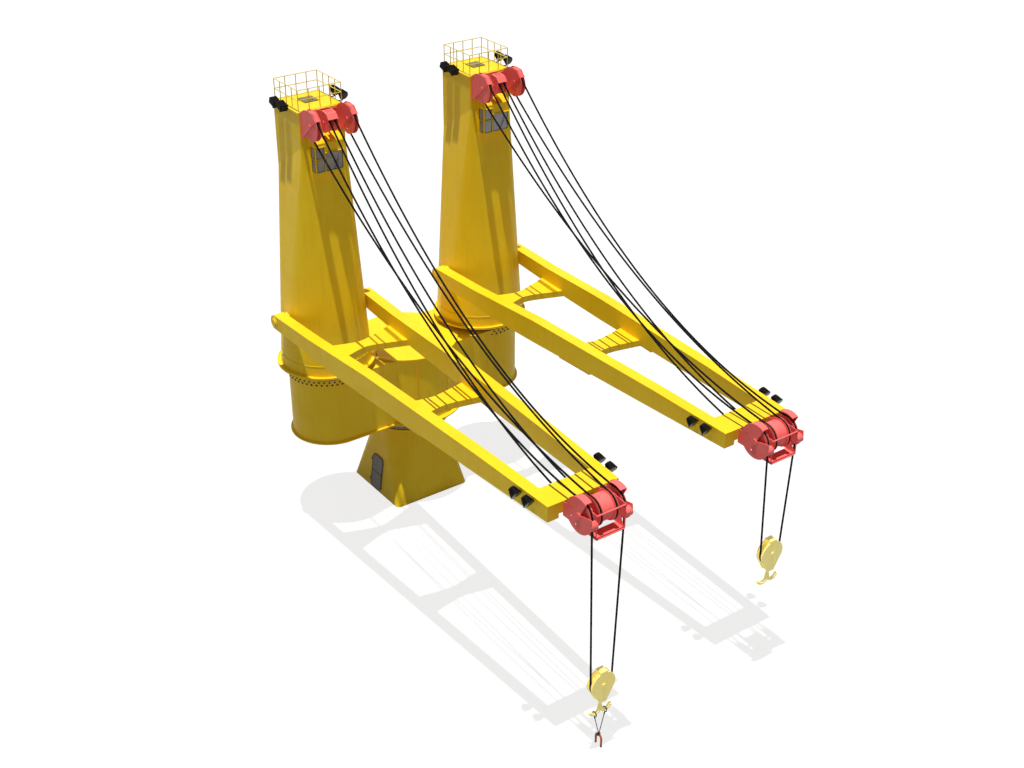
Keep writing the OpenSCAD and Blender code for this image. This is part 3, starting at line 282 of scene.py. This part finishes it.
def paint(name, base, faded, grime, streak=0.3, coat=0.06, glow=0.0):
    """Marine paint: patches of fading, rain streaks that run down, fine grime and an orange-peel surface. A
    glow, where one is given, is painted light.
    """
    m = Shader(name, coat=coat, gloss=0.2)
    patches = m.steps(m.noise(0.35, detail=4), 0.35, 0.7)
    colour = m.mix(patches, base, faded)
    rain = m.steps(m.noise(1.0, detail=5, stretch=(5.0, 5.0, 0.22)), 0.52, 0.78, 0, streak)
    colour = m.mix(rain, colour, grime)
    specks = m.steps(m.noise(26, detail=2), 0.66, 0.76, 0, 0.25)
    colour = m.mix(specks, colour, grime)
    roughness = m.steps(m.noise(3.0, detail=4), 0.3, 0.7, 0.42, 0.62)
    m.set(Base_Color=colour, Roughness=roughness, Coat_Roughness=0.3)
    # painted light: the paint glows with its own colour, so that faces the sun misses still look lit
    if glow:
        m.set(Emission_Color=colour, Emission_Strength=glow)
    dents = m.maths("MULTIPLY", m.noise(0.9, detail=2), 6.0)
    peel = m.maths("ADD", m.noise(140, detail=2), dents)
    m.bump(peel, strength=0.25, distance=0.004)
    return m.mat


def metal(name, base, dark, rough=0.4, metallic=0.9, gloss=0.5):
    """Steel with darker worn patches and a fine uneven surface."""
    m = Shader(name, metallic=metallic, gloss=gloss)
    worn = m.steps(m.noise(5, detail=5), 0.4, 0.7)
    roughness = m.steps(m.noise(30), 0.3, 0.7, rough - 0.1, rough + 0.15)
    m.set(Base_Color=m.mix(worn, base, dark), Roughness=roughness)
    m.bump(m.noise(90, detail=4), strength=0.3, distance=0.003)
    return m.mat


def plain(name, base, other, rough, scale=9.0, bump=0.2, gloss=0.5):
    """A moulded or woven surface in two close tones."""
    m = Shader(name, gloss=gloss)
    tone = m.steps(m.noise(scale, detail=4), 0.35, 0.7)
    roughness = m.steps(m.noise(scale * 2), 0.3, 0.7, rough - 0.07, rough + 0.1)
    m.set(Base_Color=m.mix(tone, base, other), Roughness=roughness)
    m.bump(m.noise(scale * 9), strength=bump, distance=0.002)
    return m.mat


def glass(name, tint, dusty):
    """Window glass with a film of dust that runs down it."""
    m = Shader(name, coat=0.6)
    dust = m.steps(m.noise(6, detail=5, stretch=(1, 1, 0.3)), 0.45, 0.75, 0, 0.5)
    roughness = m.steps(m.noise(14), 0.3, 0.7, 0.05, 0.16)
    m.set(Base_Color=m.mix(dust, tint, dusty), Alpha=0.86, Roughness=roughness)
    return m.mat


YELLOW = paint("yellow_paint", rgb(244, 203, 24), rgb(248, 212, 34), rgb(182, 138, 18), streak=0.16)
RED = paint("red_paint", rgb(248, 102, 100), rgb(254, 120, 116), rgb(172, 56, 56), streak=0.2)
# The hook's pale yellow is partly its own paint and partly painted light: the base is made paler and given a
# glow so that its upright cheeks look sunlit
HOOK = paint("hook_paint", rgb(255, 236, 138), rgb(255, 244, 166), rgb(228, 196, 112), streak=0.15, glow=0.24)
RAIL = paint("rail_paint", rgb(226, 204, 84), rgb(238, 220, 108), rgb(150, 124, 52), streak=0.2)
DRIVE = paint("drive_paint", rgb(120, 126, 130), rgb(135, 140, 142), rgb(70, 62, 50), streak=0.4)
DOOR = paint("door_paint", rgb(112, 108, 104), rgb(124, 120, 115), rgb(78, 70, 60), streak=0.25, coat=0.1)
HATCH = paint("hatch_paint", rgb(112, 104, 70), rgb(122, 114, 80), rgb(78, 70, 48), coat=0.1)
STEEL = metal("gear_steel", rgb(112, 98, 70), rgb(58, 48, 34), rough=0.45)
ROPE = metal("rope_steel", rgb(10, 10, 11), rgb(3, 3, 3), rough=0.65, metallic=0.1, gloss=0.1)
COPPER = metal("shackle_steel", rgb(168, 92, 46), rgb(92, 46, 22), rough=0.42, metallic=0.5, gloss=0.25)
BOLT = metal("bolt_steel", rgb(62, 52, 36), rgb(28, 24, 20), rough=0.5, metallic=0.6)
LAMP = plain("lamp_black", rgb(6, 6, 7), rgb(11, 10, 10), rough=0.65, gloss=0.1)
LENS = plain("lamp_lens", rgb(30, 32, 36), rgb(20, 22, 26), rough=0.15, scale=4.0, bump=0.05, gloss=0.3)
RUBBER = plain("seal_rubber", rgb(26, 26, 27), rgb(40, 39, 38), rough=0.75, scale=20.0)
SEAT = plain("seat_cloth", rgb(44, 48, 56), rgb(60, 62, 70), rough=0.85, scale=40.0, bump=0.5)
GLASS = glass("window_glass", rgb(160, 162, 176), rgb(176, 176, 176))

SLOTS = {
    "yellow_paint": YELLOW,
    "red_paint": RED,
    "hook_paint": HOOK,
    "rail_paint": RAIL,
    "drive_paint": DRIVE,
    "door_paint": DOOR,
    "hatch_paint": HATCH,
    "gear_steel": STEEL,
    "rope_steel": ROPE,
    "lamp_black": LAMP,
    "shackle_steel": COPPER,
    "window_glass": GLASS,
}


def dress_nodes():
    """Gives each CAD node its slot's material. The pins' caps are painted over with the steel round them."""
    slots = {row["node"]: row["material_slot"] for row in frame["record"]["subparts"]}
    for name, obj in frame["nodes"].items():
        material = SLOTS[slots[name]]
        if name.endswith("foot_pins"):
            material = YELLOW
        if name.endswith("head_pin"):
            material = RED
        obj.data.materials.clear()
        obj.data.materials.append(material)


# Mesh helpers
def piece(name, bm, materials, body=None, smooth=30):
    """Makes an object of a mesh, with soft shading up to an angle, and lets it ride on a body."""
    mesh = bpy.data.meshes.new(name)
    bmesh.ops.recalc_face_normals(bm, faces=bm.faces)
    bm.to_mesh(mesh)
    bm.free()
    for material in materials:
        mesh.materials.append(material)
    mesh.polygons.foreach_set("use_smooth", [True] * len(mesh.polygons))
    mesh.set_sharp_from_angle(angle=math.radians(smooth))
    obj = bpy.data.objects.new(name, mesh)
    scene.collection.objects.link(obj)
    if body:
        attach(obj, body)
    return obj


def shift(x, y, z):
    return Matrix.Translation((x, y, z))


def rotation(axis, degrees):
    return Matrix.Rotation(math.radians(degrees), 4, axis)


def circle(count):
    """The angles of so many even steps round a full turn."""
    return [2 * math.pi * k / count for k in range(count)]


def frame_at(origin, axis):
    """A matrix whose Z runs along the axis from the origin, with X as near to upright as it can be."""
    z = Vector(axis).normalized()
    upright = Vector((0, 0, 1)) if abs(z.z) <= 0.95 else Vector((1, 0, 0))
    x = (upright - z * z.dot(upright)).normalized()
    return Matrix.Translation(origin) @ Matrix((x, z.cross(x), z)).transposed().to_4x4()


def skin(bm, rings, mat=0, hoop=False):
    """Faces between rings of points. A hoop's last ring joins its first, and other skins close both ends."""
    verts = [[bm.verts.new(point) for point in ring] for ring in rings]
    pairs = list(zip(verts, verts[1:]))
    if hoop:
        pairs.append((verts[-1], verts[0]))
    sides = len(verts[0])
    faces = []
    for a, b in pairs:
        for k in range(sides):
            j = (k + 1) % sides
            faces.append(bm.faces.new((a[k], a[j], b[j], b[k])))
    if not hoop:
        faces.append(bm.faces.new(verts[0][::-1]))
        faces.append(bm.faces.new(verts[-1]))
    for face in faces:
        face.material_index = mat
    return faces


def turned(bm, matrix, profile, sides=32, mat=0):
    """A turned solid: profile is a list of (radius, height) along the matrix's Z."""
    rings = []
    for r, height in profile:
        rings.append([matrix @ Vector((r * math.cos(a), r * math.sin(a), height)) for a in circle(sides)])
    skin(bm, rings, mat)


def lathe(bm, matrix, outline, around):
    """A hoop about the matrix's Z, from a closed outline of (radius, height)."""
    rings = []
    for a in circle(around):
        rings.append([matrix @ Vector((r * math.cos(a), r * math.sin(a), height)) for r, height in outline])
    skin(bm, rings, hoop=True)


def torus(bm, matrix, radius, tube, around=40, sides=10):
    """A round hoop about the matrix's Z."""
    lathe(bm, matrix, [(radius + tube * math.cos(b), tube * math.sin(b)) for b in circle(sides)], around)


def block(bm, lo, hi, matrix=Matrix(), bevel=0.0, mat=0):
    """A box from corner lo to corner hi, with rounded edges where a bevel is given."""
    outline = ((lo[0], lo[1]), (hi[0], lo[1]), (hi[0], hi[1]), (lo[0], hi[1]))
    rings = [[matrix @ Vector((x, y, z)) for x, y in outline] for z in (lo[2], hi[2])]
    faces = skin(bm, rings, mat)
    if bevel:
        bmesh.ops.recalc_face_normals(bm, faces=faces)
        edges = list(dict.fromkeys(edge for face in faces for edge in face.edges))
        bmesh.ops.bevel(bm, geom=edges, offset=bevel, segments=2, affect="EDGES", material=-1)


def hex_bolt(bm, origin, axis, r, height):
    """A hexagon head on a washer, with a chamfered top."""
    matrix = frame_at(origin, axis)
    washer = height * 0.18
    turned(bm, matrix, [(r * 1.25, 0), (r * 1.25, washer)], sides=16)
    turned(bm, matrix, [(r, washer), (r, height * 0.86), (r * 0.86, height)], sides=6)


# Ropes
Sheave = namedtuple("Sheave", "x y z r")
MAST_HOIST = Sheave(2.10, 1.02, 23.48, 0.54)
MAST_LUFF = Sheave(1.80, 0.15, 23.40, 0.44)
HEAD_HOIST = Sheave(23.37, 0.88, 12.80, 0.65)
HEAD_LUFF = Sheave(23.37, 0.42, 12.80, 0.70)
ANCHOR = Vector((2.06, 1.02, 22.755))
BLOCK_SHEAVE_R = 0.64
BLOCK_Z = {"near": 3.74, "far": 6.65}
ROPE_R = 0.05
GROOVE = 0.095
ROPE_GAP = 0.0009
ROPE_IN = ROPE_R + ROPE_GAP - GROOVE
FALL_X = HEAD_HOIST.x + HEAD_HOIST.r + ROPE_IN
HOIST_SAG = 2.35
LUFF_TOP_SAG = 1.7
LUFF_LOW_SAG = 2.25
MAST_WRAP_START = -1.2
STRANDS = 6
ROPE_LAY = 0.62
ROPE_STEP = 0.055
FALL_STEP = 0.05


def on_sheave(sheave, angle):
    """The rope's middle on a sheave, at an angle from the sheave's top towards the boom's end."""
    r = sheave.r + ROPE_IN
    return Vector((sheave.x + r * math.sin(angle), sheave.y, sheave.z + r * math.cos(angle)))


def arc(sheave, start, end, steps=24):
    return [on_sheave(sheave, start + (end - start) * k / steps) for k in range(steps + 1)]


def hang(start, end, sag, steps=80):
    """A rope that hangs between two points, as a parabola."""
    points = []
    for k in range(steps + 1):
        t = k / steps
        points.append(start + (end - start) * t - Vector((0, 0, 4 * sag * t * (1 - t))))
    return points


def upright_arc(centre, across, r, start, end, steps):
    """Points round a centre from one angle to another, in the upright plane along the direction across."""
    points = []
    for k in range(steps + 1):
        a = start + (end - start) * k / steps
        points.append(centre + across * (r * math.cos(a)) + Vector((0, 0, r * math.sin(a))))
    return points


def fall_angle(start, end, sag, at_end=False):
    """How steeply a hanging rope falls at its start or at its end."""
    extra = -4 * sag if at_end else 4 * sag
    return math.atan((start.z - end.z + extra) / (end.x - start.x))


def resample(points, step):
    """Even points along a route, and how far along each one is."""
    route = np.array([tuple(v) for v in points])
    along = np.concatenate([[0], np.cumsum(np.linalg.norm(np.diff(route, axis=0), axis=1))])
    count = max(2, int(round(along[-1] / step)))
    even = np.linspace(0, along[-1], count + 1)
    return np.stack([np.interp(even, along, route[:, i]) for i in range(3)], 1), even


def wire(bm, points, r=ROPE_R, lay=ROPE_LAY, step=ROPE_STEP, sides=18):
    """A laid wire rope: its strands show as lobes that wind round the rope's line, once in each lay."""
    middles, along = resample(points, step)
    tangent = np.gradient(middles, axis=0)
    tangent /= np.linalg.norm(tangent, axis=1)[:, None]
    across = np.cross(tangent, [0.001, 1, 0.0])
    across /= np.linalg.norm(across, axis=1)[:, None]
    other = np.cross(tangent, across)
    rings = []
    for middle, u, v, distance in zip(middles, across, other, along):
        twist = 2 * math.pi * distance / lay
        ring = []
        for a in circle(sides):
            lobe = r * (0.93 + 0.07 * math.cos(STRANDS * (a - twist)))
            ring.append(middle + lobe * (math.cos(a) * u + math.sin(a) * v))
        rings.append(ring)
    skin(bm, rings)


def rope_piece(name, bm, body=None):
    return piece(name, bm, [ROPE], body, smooth=60)


def mirrored(points, y0, side):
    """Points for a crane's own middle plane, moved to the crane and to one side of that plane."""
    return [Vector((p.x, y0 + side * p.y, p.z)) for p in points]


def ropes(crane, y0):
    """The laid ropes, which stand for the CAD's plain ones, and their turns round the sheaves."""
    luff_top = on_sheave(HEAD_LUFF, 0)
    luff_foot = on_sheave(HEAD_LUFF, math.pi)
    hoist_start = fall_angle(MAST_HOIST, HEAD_HOIST, HOIST_SAG)
    hoist_end = fall_angle(MAST_HOIST, HEAD_HOIST, HOIST_SAG, at_end=True)
    top_end = fall_angle(ANCHOR, luff_top, LUFF_TOP_SAG, at_end=True)
    low_start = fall_angle(MAST_LUFF, luff_foot, LUFF_LOW_SAG)
    low_end = math.pi + fall_angle(MAST_LUFF, luff_foot, LUFF_LOW_SAG, at_end=True)
    block_r = BLOCK_SHEAVE_R + ROPE_IN
    block_z = BLOCK_Z[crane]
    spans = bmesh.new()
    wraps = bmesh.new()
    mast = bmesh.new()
    routes = [
        (spans, hang(on_sheave(MAST_HOIST, hoist_start), on_sheave(HEAD_HOIST, hoist_end), HOIST_SAG)),
        (spans, hang(ANCHOR, on_sheave(HEAD_LUFF, top_end), LUFF_TOP_SAG)),
        (spans, hang(on_sheave(MAST_LUFF, low_start), on_sheave(HEAD_LUFF, low_end), LUFF_LOW_SAG)),
        (wraps, arc(HEAD_HOIST, hoist_end, math.pi / 2)),
        (wraps, arc(HEAD_LUFF, top_end, low_end, steps=40)),
        (mast, arc(MAST_HOIST, MAST_WRAP_START, hoist_start)),
        (mast, arc(MAST_LUFF, MAST_WRAP_START, low_start)),
    ]
    fall = [on_sheave(HEAD_HOIST, math.pi / 2), Vector((FALL_X, block_r, block_z))]
    falls = bmesh.new()
    for side in SIDES:
        for bm, route in routes:
            wire(bm, mirrored(route, y0, side))
        wire(falls, mirrored(fall, y0, side), step=FALL_STEP)
    under = bmesh.new()
    wire(under, upright_arc(Vector((FALL_X, y0, block_z)), ALONG_Y, block_r, math.pi, math.tau, steps=30))

    obj = rope_piece(f"{crane}_span_wires", spans)
    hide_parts(f"{crane}_span_ropes")
    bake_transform(obj)
    obj = rope_piece(f"{crane}_fall_wires", falls)
    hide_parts(f"{crane}_fall_ropes")
    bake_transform(obj)
    rope_piece(f"{crane}_head_wires", wraps, f"{crane}_boom_body")
    rope_piece(f"{crane}_mast_wires", mast, f"{crane}_tower_body")
    rope_piece(f"{crane}_block_wire", under, f"{crane}_block_body")


# Sling
EYE_R = 0.13
LINK_R = 0.08
SLING_ROD_R = 0.022
SLING_LEG_R = 0.02
SLING_FOOT_Y = 0.018
SLEEVE_DROP = 0.01
SLEEVE = [(0.024, 0.02), (0.029, 0.03), (0.029, 0.15), (0.024, 0.16)]
SLING_LAY = {"lay": 0.16, "step": 0.014, "sides": 12}


def sling():
    """The near hook's sling as laid rope: an eye round each arm, two legs and a link for the shackle."""
    lo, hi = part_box("near_sling")
    middle = (lo + hi) / 2
    arm_y = (hi.y - lo.y) / 2 - SLING_ROD_R
    eye_z = hi.z - SLING_ROD_R - EYE_R
    link_z = lo.z + SLING_ROD_R + LINK_R
    bm = bmesh.new()
    for side in SIDES:
        eye = Vector((middle.x, middle.y + side * arm_y, eye_z))
        wire(bm, upright_arc(eye, ALONG_X, EYE_R, 0, math.tau, steps=40), SLING_ROD_R, **SLING_LAY)
        top = eye - Vector((0, 0, EYE_R))
        foot = Vector((middle.x, middle.y + side * SLING_FOOT_Y, link_z + LINK_R))
        wire(bm, [top, foot], SLING_LEG_R, **SLING_LAY)
        turned(bm, frame_at(top - Vector((0, 0, SLEEVE_DROP)), foot - top), SLEEVE, sides=20)
    link = Vector((middle.x, middle.y, link_z))
    wire(bm, upright_arc(link, ALONG_Y, LINK_R, 0, math.tau, steps=36), SLING_ROD_R, **SLING_LAY)
    obj = rope_piece("near_sling_rope", bm, "near_hook_body")
    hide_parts("near_sling")


# Lamps, as the CAD places them: on the tower's roof, and in the leg's frame on the boom. Tips are in degrees
BOX_LAMP_X = (-0.95, -0.23)
BOX_LAMP_Y = -1.525
BOX_LAMP_Z = DECK_Z + 0.02
BOX_LAMP_FRONT = 0.42
ROUND_LAMP_X = (-0.25, 0.52)
ROUND_LAMP_Y = 1.53
ROUND_LAMP_Z = DECK_Z + 0.24
ROUND_LAMP_FRONT = 0.2
ROUND_LAMP_R = 0.23
ROUND_LAMP_LENGTH = 0.4
ROOF_LAMP_TIP = 20
BOOM_LAMP_X = (20.45, 21.3)
BOOM_LAMP_Y = -0.6
BOOM_LAMP_Z = 0.22
BOOM_LAMP_FRONT = 0.15
BOOM_LAMP_R = 0.26
BOOM_LAMP_LENGTH = 0.38
BOOM_LAMP_TIP = 30
RIM_TUBE = 0.022
FINS = 4
REFLECTOR_RIBS = 5
LEG_TURN = math.atan((LEG_FOOT_Y - LEG_HEAD_Y) / BOOM_L)


def floodlight(bm, matrix, r, length):
    """A proud rim, a domed lens and cooling fins on one of the CAD's round lamps, which looks along +X."""
    matrix = matrix @ rotation("Y", 90)
    torus(bm, matrix @ shift(0, 0, -0.012), r - 0.006, RIM_TUBE)
    dome = [(r * 0.86, -0.01), (r * 0.86, 0.004), (r * 0.62, 0.02), (r * 0.3, 0.03), (0.01, 0.033)]
    turned(bm, matrix, dome, mat=1)
    for k in range(1, FINS + 1):
        back = k / (FINS + 1)
        z = -0.045 - (length - 0.09) * back
        fin = r * (0.92 - 0.3 * back) + 0.022
        edge = fin - 0.004
        turned(bm, matrix, [(edge, z - 0.008), (fin, z - 0.004), (fin, z + 0.004), (edge, z + 0.008)])


def box_lamp(bm, matrix):
    """Frame, glass and reflector ribs on one of the CAD's square floodlights, which looks along +X."""
    half_w = 0.215
    half_h = 0.175
    glass_w = 0.175
    glass_h = 0.135
    depth = 0.016
    for side in SIDES:
        block(bm, (0, -half_w, side * glass_h), (depth, half_w, side * half_h), matrix, 0.004)
        block(bm, (0, side * glass_w, -0.14), (depth, side * half_w, 0.14), matrix, 0.004)
    block(bm, (-0.004, -0.18, -0.14), (0.005, 0.18, 0.14), matrix, mat=1)
    for k in range(REFLECTOR_RIBS):
        y = -0.15 + 0.3 * k / (REFLECTOR_RIBS - 1)
        block(bm, (-0.42, y - 0.008, 0.148), (-0.1, y + 0.008, 0.168), matrix)


def lamps(crane, y0):
    bm = bmesh.new()
    tip = rotation("Y", ROOF_LAMP_TIP)
    for x in BOX_LAMP_X:
        box_lamp(bm, shift(x + BOX_LAMP_FRONT, y0 + BOX_LAMP_Y, BOX_LAMP_Z) @ tip)
    for x in ROUND_LAMP_X:
        lamp = shift(x + ROUND_LAMP_FRONT, y0 + ROUND_LAMP_Y, ROUND_LAMP_Z) @ tip
        floodlight(bm, lamp, ROUND_LAMP_R, ROUND_LAMP_LENGTH)
    piece(f"{crane}_tower_lamp_fronts", bm, [LAMP, LENS], f"{crane}_tower_body")

    bm = bmesh.new()
    leg = shift(0, -LEG_MID_Y, PIN_Z) @ Matrix.Rotation(LEG_TURN, 4, "Z")
    for x in BOOM_LAMP_X:
        lamp = leg @ shift(x + BOOM_LAMP_FRONT, BOOM_LAMP_Y, BOOM_LAMP_Z) @ rotation("Y", BOOM_LAMP_TIP)
        for side in SIDES:
            placed = shift(0, y0, 0) @ Matrix.Diagonal((1, side, 1, 1)) @ lamp
            floodlight(bm, placed, BOOM_LAMP_R, BOOM_LAMP_LENGTH)
    piece(f"{crane}_boom_lamp_fronts", bm, [LAMP, LENS], f"{crane}_boom_body")


# Bolts, welds and the railings' feet
BAND_R = 2.135
BAND = [(2.06, -0.36), (2.1, -0.36), (BAND_R, -0.34), (BAND_R, -0.012), (2.12, 0), (2.06, 0)]
BOLT_ROWS = ((-0.27, 0), (-0.1, 0.5))
BOLTS_IN_ROW = 48
BOLT_R = 0.047
BOLT_H = 0.045
BOLT_SINK = 0.004
POT_WELDS = ((2.083, POT_FOOT, 0.02), (2.083, POT_TOP - 0.37, 0.014))
TOWER_WELDS = ((2.43, COLLAR_Z, 0.02), (2.403, 10.302, 0.014))
RAIL_X = -0.14
POST_GAP = 0.6
POST_BOLT_RING = 0.04
POST_BOLT_R = 0.006
POST_BOLT_H = 0.01
POST_FLANGE = [(0.052, 0), (0.052, 0.012), (0.04, 0.016), (0.03, 0.03)]


def ring_bolts(crane, y0):
    """The bolted band round the top of a pot, with its two rows of bolts."""
    bm = bmesh.new()
    lathe(bm, shift(0, y0, POT_TOP), BAND, around=96)
    piece(f"{crane}_pot_band", bm, [YELLOW], "platform_body")
    bm = bmesh.new()
    for z, offset in BOLT_ROWS:
        for i in range(BOLTS_IN_ROW):
            a = 2 * math.pi * (i + offset) / BOLTS_IN_ROW
            out = Vector((math.cos(a), math.sin(a), 0))
            hex_bolt(bm, Vector((0, y0, POT_TOP + z)) + out * (BAND_R - BOLT_SINK), out, BOLT_R, BOLT_H)
    piece(f"{crane}_ring_bolts", bm, [BOLT], "platform_body", smooth=20)


def weld_beads(bm, y0, welds):
    for r, z, tube in welds:
        torus(bm, shift(0, y0, z), r, tube, around=96, sides=6)


def welds():
    """Weld beads where rings and shells meet."""
    bm = bmesh.new()
    for y0 in CRANES.values():
        weld_beads(bm, y0, POT_WELDS)
    piece("pot_welds", bm, [YELLOW], "platform_body")
    for crane, y0 in CRANES.items():
        bm = bmesh.new()
        weld_beads(bm, y0, TOWER_WELDS)
        piece(f"{crane}_tower_welds", bm, [YELLOW], f"{crane}_tower_body")


def rail_feet(crane, y0):
    """A flange with four bolts under each post of the railing."""
    bm = bmesh.new()
    for i in range(-2, 3):
        for j in range(-2, 3):
            if max(abs(i), abs(j)) < 2:
                continue
            foot = Vector((RAIL_X + POST_GAP * i, y0 + POST_GAP * j, DECK_Z))
            turned(bm, Matrix.Translation(foot), POST_FLANGE, sides=20)
            for k in range(4):
                a = math.pi * (0.25 + 0.5 * k)
                out = Vector((math.cos(a), math.sin(a), 0)) * POST_BOLT_RING
                hex_bolt(bm, foot + out + Vector((0, 0, 0.012)), (0, 0, 1), POST_BOLT_R, POST_BOLT_H)
    piece(f"{crane}_rail_feet", bm, [RAIL], f"{crane}_tower_body")


# Cab: panes are (across from, across to, lowest, highest)
CAB_FRONT_X = 1.75
CAB_SIDE_Y = 0.81
FRONT_PANES = [(-0.22, 0.7, 20.9, 21.8), (-0.73, -0.32, 20.9, 21.5), (-0.73, -0.32, 21.58, 22.13)]
SIDE_PANES = [(1.38, 1.66, 20.9, 21.5), (1.33, 1.66, 21.58, 22.13)]
SEAL_W = 0.016
SEAL_IN = 0.012
SEAL_OUT = 0.008
WIPER_Y = 0.24
WIPER_Z = 20.93
SEAT_PLACE = (1.0, 0.2, 20.83)
LEVER = [(0.04, 0), (0.03, 0.03), (0.01, 0.04), (0.01, 0.14), (0.026, 0.15), (0.026, 0.19), (0.012, 0.205)]
SEAT_FOOT = [(0.2, -0.04), (0.2, 0.0), (0.07, 0.03), (0.06, 0.38)]


def seal_strips(pane):
    """The four strips round a pane, each as (across from, lowest, across to, highest)."""
    left, right, low, high = pane
    w = SEAL_W
    return (
        (left - w, low - w, right + w, low),
        (left - w, high, right + w, high + w),
        (left - w, low, left, high),
        (right, low, right + w, high),
    )


def cab_seals(crane, y0):
    """Rubber round the panes, and a wiper on the large one."""
    bm = bmesh.new()
    for pane in FRONT_PANES:
        for left, low, right, high in seal_strips(pane):
            block(bm, (CAB_FRONT_X - SEAL_IN, y0 + left, low), (CAB_FRONT_X + SEAL_OUT, y0 + right, high))
    for side in SIDES:
        inner = y0 + side * (CAB_SIDE_Y - SEAL_IN)
        outer = y0 + side * (CAB_SIDE_Y + SEAL_OUT)
        for pane in SIDE_PANES:
            for left, low, right, high in seal_strips(pane):
                block(bm, (left, inner, low), (right, outer, high))
    arm = shift(CAB_FRONT_X + 0.006, y0 + WIPER_Y, WIPER_Z) @ rotation("X", -28)
    block(bm, (0.004, -0.008, 0), (0.016, 0.008, 0.52), arm, 0.003)
    block(bm, (-0.008, -0.006, 0.22), (0.006, 0.006, 0.74), arm @ rotation("X", 8), 0.002)
    pivot = frame_at((CAB_FRONT_X, y0 + WIPER_Y, WIPER_Z), (1, 0, 0))
    turned(bm, pivot, [(0.024, 0), (0.024, 0.014), (0.014, 0.02)], sides=20)
    piece(f"{crane}_cab_seals", bm, [RUBBER], f"{crane}_tower_body")


def cab_seat(crane, y0):
    """The seat on its foot, with an armrest and a lever on each side."""
    bm = bmesh.new()
    seat = shift(0, y0, 0) @ Matrix.Translation(SEAT_PLACE)
    back = seat @ rotation("Y", -8)
    block(bm, (-0.24, -0.24, 0.38), (0.24, 0.24, 0.5), seat, 0.05)
    block(bm, (-0.3, -0.23, 0.46), (-0.18, 0.23, 1.08), back, 0.05)
    block(bm, (-0.3, -0.13, 1.06), (-0.19, 0.13, 1.26), back, 0.04)
    for side in SIDES:
        y = side * 0.34
        block(bm, (-0.16, y - 0.09, 0.3), (0.34, y + 0.09, 0.66), seat, 0.03, mat=1)
        turned(bm, seat @ shift(0.2, y, 0.66), LEVER, sides=16, mat=1)
    turned(bm, seat, SEAT_FOOT, sides=24, mat=1)
    piece(f"{crane}_cab_seat", bm, [SEAT, RUBBER], f"{crane}_tower_body")


# Pedestal's door, in the leaning wall's frame: x across, -y out, z up
DOOR_LEAN = math.atan((PEDESTAL_HALF_W - PEDESTAL_NECK_R) / PEDESTAL_NECK_Z)
DOOR_HALF_W = 0.515
DOOR_HALF_H = 1.04
DOOR_CORNER_R = 0.245
DOOR_FACE_Y = -0.0603
SEAL_PROFILE = ((-0.014, 0), (-0.01, 0.014), (0.01, 0.014), (0.014, 0))


def door_seal():
    """A seal round the door's edge and a bar across its middle."""
    wall = shift(0, -PEDESTAL_HALF_W, 0) @ Matrix.Rotation(-DOOR_LEAN, 4, "X")
    lo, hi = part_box("pedestal_door")
    middle = (wall.inverted() @ ((lo + hi) / 2)).z
    r = DOOR_CORNER_R
    path = []
    for k, (sx, sz) in enumerate(((1, 1), (-1, 1), (-1, -1), (1, -1))):
        corner = Vector((sx * (DOOR_HALF_W - r), sz * (DOOR_HALF_H - r)))
        for j in range(11):
            a = math.pi / 2 * (k + j / 10)
            path.append(corner + r * Vector((math.cos(a), math.sin(a))))
    rings = []
    for i, point in enumerate(path):
        along = (path[(i + 1) % len(path)] - path[i - 1]).normalized()
        out = Vector((along.y, -along.x))
        ring = []
        for u, v in SEAL_PROFILE:
            place = point + out * u
            ring.append(wall @ Vector((place.x, DOOR_FACE_Y - v, middle + place.y)))
        rings.append(ring)
    bm = bmesh.new()
    skin(bm, rings, hoop=True)
    block(bm, (-0.5, -0.072, middle - 0.02), (0.5, -0.058, middle + 0.02), wall, 0.003)
    piece("door_seal", bm, [RUBBER], "door_body")


scene.view_settings.view_transform = "Standard"
add_camera()
add_world()
add_sun()
add_floor()
dress_nodes()
for crane, y0 in CRANES.items():
    ropes(crane, y0)
    lamps(crane, y0)
    ring_bolts(crane, y0)
    rail_feet(crane, y0)
    cab_seals(crane, y0)
    cab_seat(crane, y0)
door_seal()
welds()
sling()
